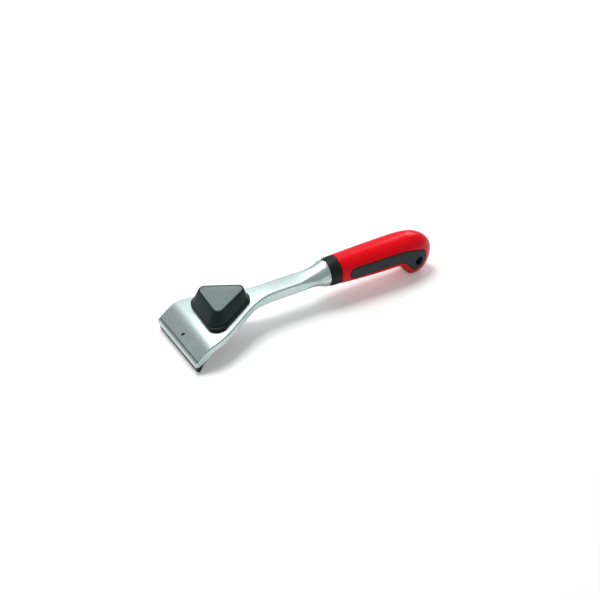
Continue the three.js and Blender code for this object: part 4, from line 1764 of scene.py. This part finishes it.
@dataclass
class Handle:
    """The collar, the red handle and its two soft panels, in millimetres."""

    axis: float = 26.8
    collar_start: float = 133.1
    collar_length: float = 9.5
    collar_front: float = 11.3
    collar_rear: float = 11.9
    collar_bulge: float = 0.7
    collar_round: float = 0.6
    start: float = 142.9
    tip: float = 232.2
    front_radius: float = 11.7
    front_round: float = 0.45
    width: float = 27
    crown_height: float = 39.3
    belly_height: float = 12.6
    squareness: float = 2.3
    crown_from_tip: float = 25
    hook_from_tip: float = 35.3
    foot_from_tip: float = 18.6
    foot_length: float = 3.4
    foot_sunk: float = 0.6
    tip_height: float = 20
    tip_radius: float = 1.6
    hole_from_tip: float = 16.6
    hole_height: float = 16.6
    hole_diameter: float = 8
    lining_wall: float = 0.8
    lining_gap: float = 0.05
    lining_sunk: float = 1
    panel_from_collar: float = 12
    panel_drop: float = 1.2
    panel_front: float = 5
    panel_rear: float = 9.5
    panel_knee: float = 2.1
    panel_widens_at: float = 0.66
    panel_depth: float = 2
    panel_above_floor: float = 0.5
    panel_under_face: float = 0.02
    panel_lines: int = 10
    # Turns of the rows at a panel's rounded ends, in degrees from its tip
    end_turns: tuple[float, ...] = (18, 38, 56, 74)
    # Widths and depths of the lines that round a panel's rim, from its border inwards
    rim_widths: tuple[float, ...] = (0.12, 0.2, 0.3)
    rim_depths: tuple[float, ...] = (0.7, 0.3, 0.08)
    fit: float = 0.3

    @property
    def crown_x(self) -> float:
        """Length from the lip to the highest part of the back."""
        return self.tip - self.crown_from_tip

    @property
    def hook_x(self) -> float:
        """Length from the lip to the start of the hook."""
        return self.tip - self.hook_from_tip

    @property
    def hole_x(self) -> float:
        """Length from the lip to the hanging hole."""
        return self.tip - self.hole_from_tip

    def to_tip(self, line: Outline, middle: float, end: float) -> Outline:
        """Round a line off to the tip, by a quarter of an ellipse.

        Args:
            line: The line, drawn as far as the start of the round.
            middle: Height or half-width of the ellipse's centre.
            end: Height or half-width at the tip.

        Returns:
            The line.
        """
        start = line.points[-1]
        far, near = mixed(start.x, self.tip, QUARTER), mixed(middle, start.y, QUARTER)
        return line.to((far, start.y), (self.tip, near), (self.tip, end))

    def back(self) -> Outline:
        """Draw the upper line of the handle.

        Returns:
            The line.
        """
        crown, top = self.crown_x, self.crown_height
        line = Outline(self.start, self.axis + self.front_radius)
        line.to(((self.start + crown) / 2, top), (crown, top))
        return self.to_tip(line, self.tip_height, self.tip_height + self.tip_radius)

    def belly(self) -> Outline:
        """Draw the lower line of the handle, with its hook and foot.

        Returns:
            The line.
        """
        low, foot = -self.foot_sunk, self.tip - self.foot_from_tip
        hook, belly = self.hook_x, self.belly_height
        line = Outline(self.start, self.axis - self.front_radius)
        line.to(((self.start + hook) / 2, belly), (hook, belly))
        line.to(((hook + foot) / 2, belly), ((hook + 2 * foot) / 3, low), (foot, low))
        line.to((foot + self.foot_length, low))
        return self.to_tip(line, self.tip_height, self.tip_height - self.tip_radius)

    def side(self) -> Outline:
        """Draw the half-width along the handle.

        Returns:
            The line.
        """
        half, crown = self.width / 2, self.crown_x
        line = Outline(self.start, self.front_radius).to(((self.start + crown) / 2, half), (crown, half))
        return self.to_tip(line, 0, self.tip_radius)

    def form(self) -> Piece:
        """Pull the outer form of the handle out from the collar to its tip.

        Returns:
            The closed form, before anything is let into it.
        """
        back, belly, side = self.back(), self.belly(), self.side()
        stations = steps(self.start, self.crown_x, 26)
        turns = steps(0, math.pi / 2, 22)[1:]
        stations += [self.crown_x + self.crown_from_tip * math.sin(turn) for turn in turns]
        first, *others = [Section(x, side.at(x), belly.at(x), back.at(x)) for x in stations]
        skin = RoundSkin("handle_form", first, 56, self.squareness)
        for section in others:
            skin.pull(section)
        Bench.modifier(skin.piece, "SUBSURF", levels=2, render_levels=2)
        Bench.edit(skin.piece)
        skin.ends(self.start, self.tip)
        Bench.pick_level(skin.piece, Axis.LENGTH, spot(self.start, 0, 0).x)
        Bench.round_over(self.front_round, 3)
        Bench.close_up(skin.piece)
        return skin.piece

    def panel_line(self) -> list[Vector]:
        """Draw the middle line of a panel, as a smooth curve through five places.

        Returns:
            Points of the line in the side view, from its front end to its rear end.
        """
        height = self.axis - self.panel_drop
        knots = [
            Vector((self.start + self.panel_from_collar, height)),
            Vector(((self.start + self.hook_x) / 2, height)),
            Vector((self.hook_x, height)),
            Vector(((self.hook_x + self.hole_x) / 2, (height + self.hole_height) / 2 + self.panel_knee)),
            Vector((self.hole_x - self.panel_drop, self.hole_height + self.panel_drop)),
        ]
        line = [knots[0]]
        last = len(knots) - 1
        for index in range(last):
            a, b = knots[max(index - 1, 0)], knots[index]
            c, d = knots[index + 1], knots[min(index + 2, last)]
            for t in steps(0, 1, 40)[1:]:
                pull = (c - a) * t + (2 * a - 5 * b + 4 * c - d) * t**2 + (3 * b - a - 3 * c + d) * t**3
                line.append(b + pull / 2)
        return line

    def spine(self) -> list[Row]:
        """Space the rows of a panel evenly along its middle line.

        Returns:
            The rows, from the front end to the rear end.
        """
        line = self.panel_line()
        last = len(line) - 1
        lengths = [0.0]
        for before, after in zip(line, line[1:]):
            lengths.append(lengths[-1] + (after - before).length)
        rows = []
        for share in steps(0, 1, 34):
            wanted = share * lengths[-1]
            index = next((i for i, reach in enumerate(lengths) if reach >= wanted - NEAR * MM), last)
            index = min(max(index, 1), last)
            part = (wanted - lengths[index - 1]) / (lengths[index] - lengths[index - 1])
            way = (line[min(index + 1, last)] - line[max(index - 2, 0)]).normalized()
            widening = max(0.0, (share - self.panel_widens_at) / (1 - self.panel_widens_at))
            half = mixed(self.panel_front, self.panel_rear, widening**2)
            rows.append(Row(line[index - 1].lerp(line[index], part), way, half))
        return rows

    def end_rows(self, row: Row, reach: float, grow: float) -> list[Row]:
        """Round off one end of a panel.

        Args:
            row: The last full row.
            reach: Length of the round, forwards or backwards.
            grow: Margin round the panel.

        Returns:
            The rows of the end, from its tip inwards.
        """
        turns = [math.radians(degrees) for degrees in self.end_turns]
        return [
            Row(row.place + row.way * reach * math.cos(turn), row.way, (row.half + grow) * math.sin(turn))
            for turn in turns
        ]

    def panel_rows(self, grow: float) -> list[Row]:
        """Lay out the rows of a panel with its rounded ends.

        Args:
            grow: Margin round the panel.

        Returns:
            The rows, from the front end to the rear end.
        """
        rows = self.spine()
        nose = self.end_rows(rows[0], -(self.panel_front + grow), grow)
        tail = self.end_rows(rows[-1], self.panel_rear + grow, grow)
        return nose + [Row(row.place, row.way, row.half + grow) for row in rows] + tail[::-1]

    def strip(self, name: str, side: Side, grow: float) -> Piece:
        """Lay out a panel as a flat strip beside the handle.

        Args:
            name: Name of the strip.
            side: Side of the handle.
            grow: Margin round the panel, in millimetres.

        Returns:
            The flat strip, facing outwards.
        """
        rows = self.panel_rows(grow)
        count, lines, beside = len(rows), self.panel_lines, 20.0 * side.value
        Bench.clear()
        bpy.ops.mesh.primitive_grid_add(
            x_subdivisions=count - 1,
            y_subdivisions=lines,
            size=2 * MM,
            location=spot(self.start, beside, self.axis),
            rotation=(math.pi / 2, 0, 0),
        )
        strip = Bench.settle(name)
        Bench.edit(strip)
        for number, row in enumerate(rows):
            Bench.pick_numbers(strip, [line * count + number for line in range(lines + 1)])
            old = Bench.vertex(strip, number).lerp(Bench.vertex(strip, lines * count + number), 0.5)
            Bench.scale((1, 1, row.half), old)
            Bench.turn(-math.degrees(math.atan2(row.way.y, row.way.x)), "Y", old)
            Bench.move(spot(row.place.x, beside, row.place.y) - old)
        Bench.take_all()
        bpy.ops.mesh.normals_make_consistent(inside=False)
        mesh = bmesh.from_edit_mesh(strip.data)
        mesh.faces.ensure_lookup_table()
        if mesh.faces[0].normal.y * side.value < 0:
            bpy.ops.mesh.flip_normals()
        Bench.hold(strip)
        return strip

    def inset_rim(self, strip: Piece, *widths: float) -> None:
        """Draw lines inside the border of a flat strip.

        Args:
            strip: The strip.
            widths: How much further in each line is than the one before.
        """
        Bench.edit(strip)
        bpy.ops.mesh.select_mode(type="FACE")
        Bench.take_all()
        for width in widths:
            bpy.ops.mesh.inset(thickness=width * MM, use_boundary=True, use_even_offset=True)
        Bench.hold(strip)

    def press_on(self, strip: Piece, form: Piece, side: Side, above: float) -> None:
        """Press a strip on the side of the handle.

        Args:
            strip: The strip.
            form: Outer form of the handle.
            side: Side of the handle.
            above: Height above the form's surface.
        """
        Bench.modifier(
            strip,
            "SHRINKWRAP",
            target=form,
            wrap_method="PROJECT",
            use_project_y=True,
            use_negative_direction=True,
            use_positive_direction=True,
            project_limit=50 * MM,
        )
        Bench.shift(strip, self.outwards(side, above))

    def outwards(self, side: Side, distance: float) -> Vector:
        """Return a shift out of the side of the handle, in millimetres."""
        return Vector((0, side.value * distance * MM, 0))

    def take_border(self) -> None:
        """Select the open border of the piece in hand."""
        bpy.ops.mesh.select_mode(type="VERT")
        bpy.ops.mesh.select_non_manifold(
            extend=False, use_wire=False, use_boundary=True, use_multi_face=False
        )

    def sink_border(self, strip: Piece, side: Side, *depths: float) -> None:
        """Lower the border of a pressed strip, and then each line inside it.

        Args:
            strip: The strip.
            side: Side of the handle.
            depths: Depth of the border and of each line.
        """
        Bench.edit(strip)
        self.take_border()
        sunk: set[int] = set()
        for depth in depths:
            ring = set(Bench.picked(strip)) - sunk
            Bench.pick_numbers(strip, ring)
            Bench.move(self.outwards(side, -depth))
            sunk |= ring
            Bench.pick_numbers(strip, sunk)
            bpy.ops.mesh.select_more(use_face_step=False)
        Bench.hold(strip)

    def hole(self, grow: float = 0.0) -> Piece:
        """Make the hanging hole.

        Args:
            grow: Margin all round it.

        Returns:
            A solid to cut away.
        """
        middle = Matrix.Translation(spot(self.hole_x, 0, self.hole_height))
        across = middle @ Matrix.Rotation(math.pi / 2, 4, "X")
        diameter = self.hole_diameter + 2 * grow
        return Bench.rod("hanging_hole", diameter, -self.width, self.width, across, 64)

    def lining(self, form: Piece, side: Side) -> Piece:
        """Make the half of the hole's lining that is moulded with one panel, just under the panel's face.

        Args:
            form: Outer form of the handle.
            side: Side of the handle.

        Returns:
            A solid to join on, before the hole is cut.
        """
        sleeve = self.hole(self.lining_wall)
        Bench.edit(sleeve)
        Bench.slice_off(self.outwards(side, self.lining_gap), Vector((0, -side.value, 0)))
        Bench.close_up(sleeve)
        limit = Bench.copy(form, "lining_limit")
        Bench.shift(limit, self.outwards(side, -self.lining_sunk))
        Bench.cut(sleeve, limit, Cut.KEEP)
        return sleeve

    def recess(self, form: Piece, side: Side) -> Piece:
        """Make the recess of a panel with its softened rim.

        Args:
            form: Outer form of the handle.
            side: Side of the handle.

        Returns:
            A solid to cut away.
        """
        tray = self.strip(f"recess_{side.name.lower()}", side, 3 * self.fit)
        self.inset_rim(tray, 2 * self.fit)
        self.press_on(tray, form, side, self.fit)
        Bench.edit(tray)
        self.take_border()
        bpy.ops.mesh.select_all(action="INVERT")
        Bench.move(self.outwards(side, -2 * self.fit))
        Bench.extrude(self.outwards(side, -self.panel_depth))
        self.take_border()
        lid_rise, lid = 6, 25
        Bench.extrude(self.outwards(side, lid_rise))
        Bench.scale((1, 0, 1), self.outwards(side, lid))
        bpy.ops.mesh.edge_face_add()
        Bench.close_up(tray)
        return tray

    def panel(self, form: Piece, side: Side) -> None:
        """Build one soft panel with its rounded rim and the hanging hole through it.

        Args:
            form: Outer form of the handle.
            side: Side of the handle.
        """
        name = side.name.lower()
        pad = self.strip(f"soft_panel_{name}", side, 0)
        self.inset_rim(pad, *self.rim_widths)
        self.press_on(pad, form, side, -self.panel_under_face)
        self.sink_border(pad, side, *self.rim_depths)
        Bench.edit(pad)
        Bench.take_all()
        Bench.extrude(self.outwards(side, self.panel_above_floor - self.panel_depth))
        Bench.close_up(pad)
        Bench.cut(pad, self.lining(form, side), Cut.JOIN)
        Bench.cut(pad, self.hole())
        Bench.smooth(pad, 50)
        finish_piece(pad, Body.HEAD, SOFT_GRIP, f"grip_{name}")

    def core(self, form: Piece) -> None:
        """Build the red handle.

        Args:
            form: Its outer form.
        """
        core = Bench.copy(form, "handle_moulding")
        Bench.edit(core)
        Bench.slice_off(Vector(), Vector((0, 0, -1)))
        Bench.close_up(core)
        for side in Side:
            Bench.cut(core, self.recess(form, side))
        Bench.cut(core, self.hole(self.lining_wall + 2 * self.lining_gap))
        Bench.smooth(core, 38)
        finish_piece(core, Body.HEAD, RED_PLASTIC, "handle_core")

    def collar(self) -> None:
        """Build the black collar with its slight bulge."""
        start, end = self.collar_start, self.collar_start + self.collar_length
        peak = (self.collar_front + self.collar_rear) / 2 + self.collar_bulge
        line = Outline(start, self.collar_front).to(((start + end) / 2, peak), (end, self.collar_rear))
        radii = [(x, line.at(x)) for x in steps(start, end, 14)]
        first, *others = [Section(x, r, self.axis - r, self.axis + r) for x, r in radii]
        skin = RoundSkin("collar_ring", first, 96, 2)
        for section in others:
            skin.pull(section)
        skin.ends(start, end)
        Bench.pick_level(skin.piece, Axis.LENGTH, spot(start, 0, 0).x, spot(end, 0, 0).x)
        bpy.ops.mesh.select_mode(type="FACE")
        bpy.ops.mesh.select_mode(type="EDGE")
        bpy.ops.mesh.region_to_loop()
        Bench.round_over(self.collar_round, 4)
        Bench.close_up(skin.piece)
        Bench.smooth(skin.piece, 40)
        finish_piece(skin.piece, Body.HEAD, BLACK_PLASTIC, "collar")

    def build(self) -> None:
        """Build every piece of the handle."""
        self.collar()
        form = self.form()
        self.core(form)
        for side in Side:
            self.panel(form, side)
        Bench.remove(form)


@dataclass(frozen=True)
class SoftBox:
    """A soft lamp: its name, middle, width and height in metres, and its watts."""

    name: str
    place: Triple
    size: tuple[float, float]
    power: float

    def hang(self, target: Vector) -> None:
        """Hang the lamp so that it faces the object.

        Args:
            target: Point that it faces.
        """
        aim = target - Vector(self.place)
        Bench.clear()
        bpy.ops.object.light_add(
            type="AREA", location=self.place, rotation=aim.to_track_quat("-Z", "Y").to_euler()
        )
        lamp = bpy.context.object
        lamp.name = self.name
        lamp.data.shape = "RECTANGLE"
        lamp.data.size, lamp.data.size_y = self.size
        lamp.data.energy = self.power


@dataclass
class Studio:
    """The pale floor, the soft lamps and the camera, in metres."""

    camera_place: Triple = (-0.4972, -0.8475, 0.7371)
    camera_turn: Triple = (53.34, 0, -30.09)
    lens: float = 91.62
    sensor: float = 36
    sky: float = 0.34
    floor_size: float = 12
    floor_tone: float = 0.84
    floor_glow: float = 0.2
    lamp_target: Triple = (0, 0, 0.02)
    lamps: tuple[SoftBox, ...] = (
        SoftBox("key_soft_box", (-0.15, 0.44, 1.5), (0.6, 0.6), 17),
        SoftBox("side_soft_box", (1.08, 0.76, 0.92), (0.7, 0.6), 4.5),
        SoftBox("back_soft_box", (0.1, 1.15, 1.15), (1.3, 1.1), 2.8),
    )

    def floor(self) -> None:
        """Lay the floor, which keeps the object's shadow and is white to the camera."""
        Bench.clear()
        bpy.ops.mesh.primitive_plane_add(size=self.floor_size)
        floor = Bench.settle("studio_floor")
        material = bpy.data.materials.new("pale_floor")
        material.use_nodes = True
        tree = material.node_tree
        inputs = tree.nodes["Principled BSDF"].inputs
        inputs["Base Color"].default_value = (self.floor_tone, self.floor_tone, self.floor_tone, 1)
        inputs["Roughness"].default_value = 0.9
        inputs["Specular IOR Level"].default_value = 0.0
        inputs["Emission Color"].default_value = (1, 1, 1, 1)
        tree.links.new(self.seen(tree, self.floor_glow, 0.0), inputs["Emission Strength"])
        floor.data.materials.append(material)

    def seen(self, tree: bpy.types.NodeTree, shown: float, hidden: float) -> Socket:
        """Give one strength to what the camera sees, and another to the light cast.

        Args:
            tree: Node tree of the floor or the world.
            shown: Strength for camera rays.
            hidden: Strength for all other rays.

        Returns:
            The strength.
        """
        path = tree.nodes.new("ShaderNodeLightPath")
        spread = tree.nodes.new("ShaderNodeMapRange")
        spread.inputs["To Min"].default_value = hidden
        spread.inputs["To Max"].default_value = shown
        tree.links.new(path.outputs["Is Camera Ray"], spread.inputs["Value"])
        return spread.outputs["Result"]

    def world(self) -> None:
        """Set the even light of the room, which is white to the camera."""
        world = bpy.data.worlds.new("studio_room")
        world.use_nodes = True
        bpy.context.scene.world = world
        tree = world.node_tree
        back = tree.nodes["Background"]
        back.inputs["Color"].default_value = (1, 1, 1, 1)
        tree.links.new(self.seen(tree, 1.0, self.sky), back.inputs["Strength"])

    def camera(self) -> None:
        """Set the camera at the photograph's angle."""
        Bench.clear()
        turn = tuple(math.radians(angle) for angle in self.camera_turn)
        bpy.ops.object.camera_add(location=self.camera_place, rotation=turn)
        camera = bpy.context.object
        camera.name = "photo_camera"
        camera.data.lens = self.lens
        camera.data.sensor_width = self.sensor
        bpy.context.scene.camera = camera

    def build(self) -> None:
        """Set up the whole studio."""
        bpy.context.scene.view_settings.view_transform = "Standard"
        self.floor()
        self.world()
        for lamp in self.lamps:
            lamp.hang(Vector(self.lamp_target))
        self.camera()


def dress_washer(frame: dict) -> None:
    """Give the thrust washer under the knob its plated finish."""
    PLATED_STEEL.coat_piece(frame["nodes"]["thrust_washer"])


def main() -> None:
    """Build the tool and its studio, and log the faces of each piece as it is finished."""
    logging.basicConfig(level=logging.INFO, format="%(name)s: %(message)s")
    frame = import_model()
    head = Head()
    clamp = BladeClamp(head)
    Studio().build()
    head.build(clamp.seat())
    clamp.build()
    PressureKnob(head, clamp).build()
    Handle().build()
    dress_washer(frame)
    Bench.clear()


if __name__ == "__main__":
    main()
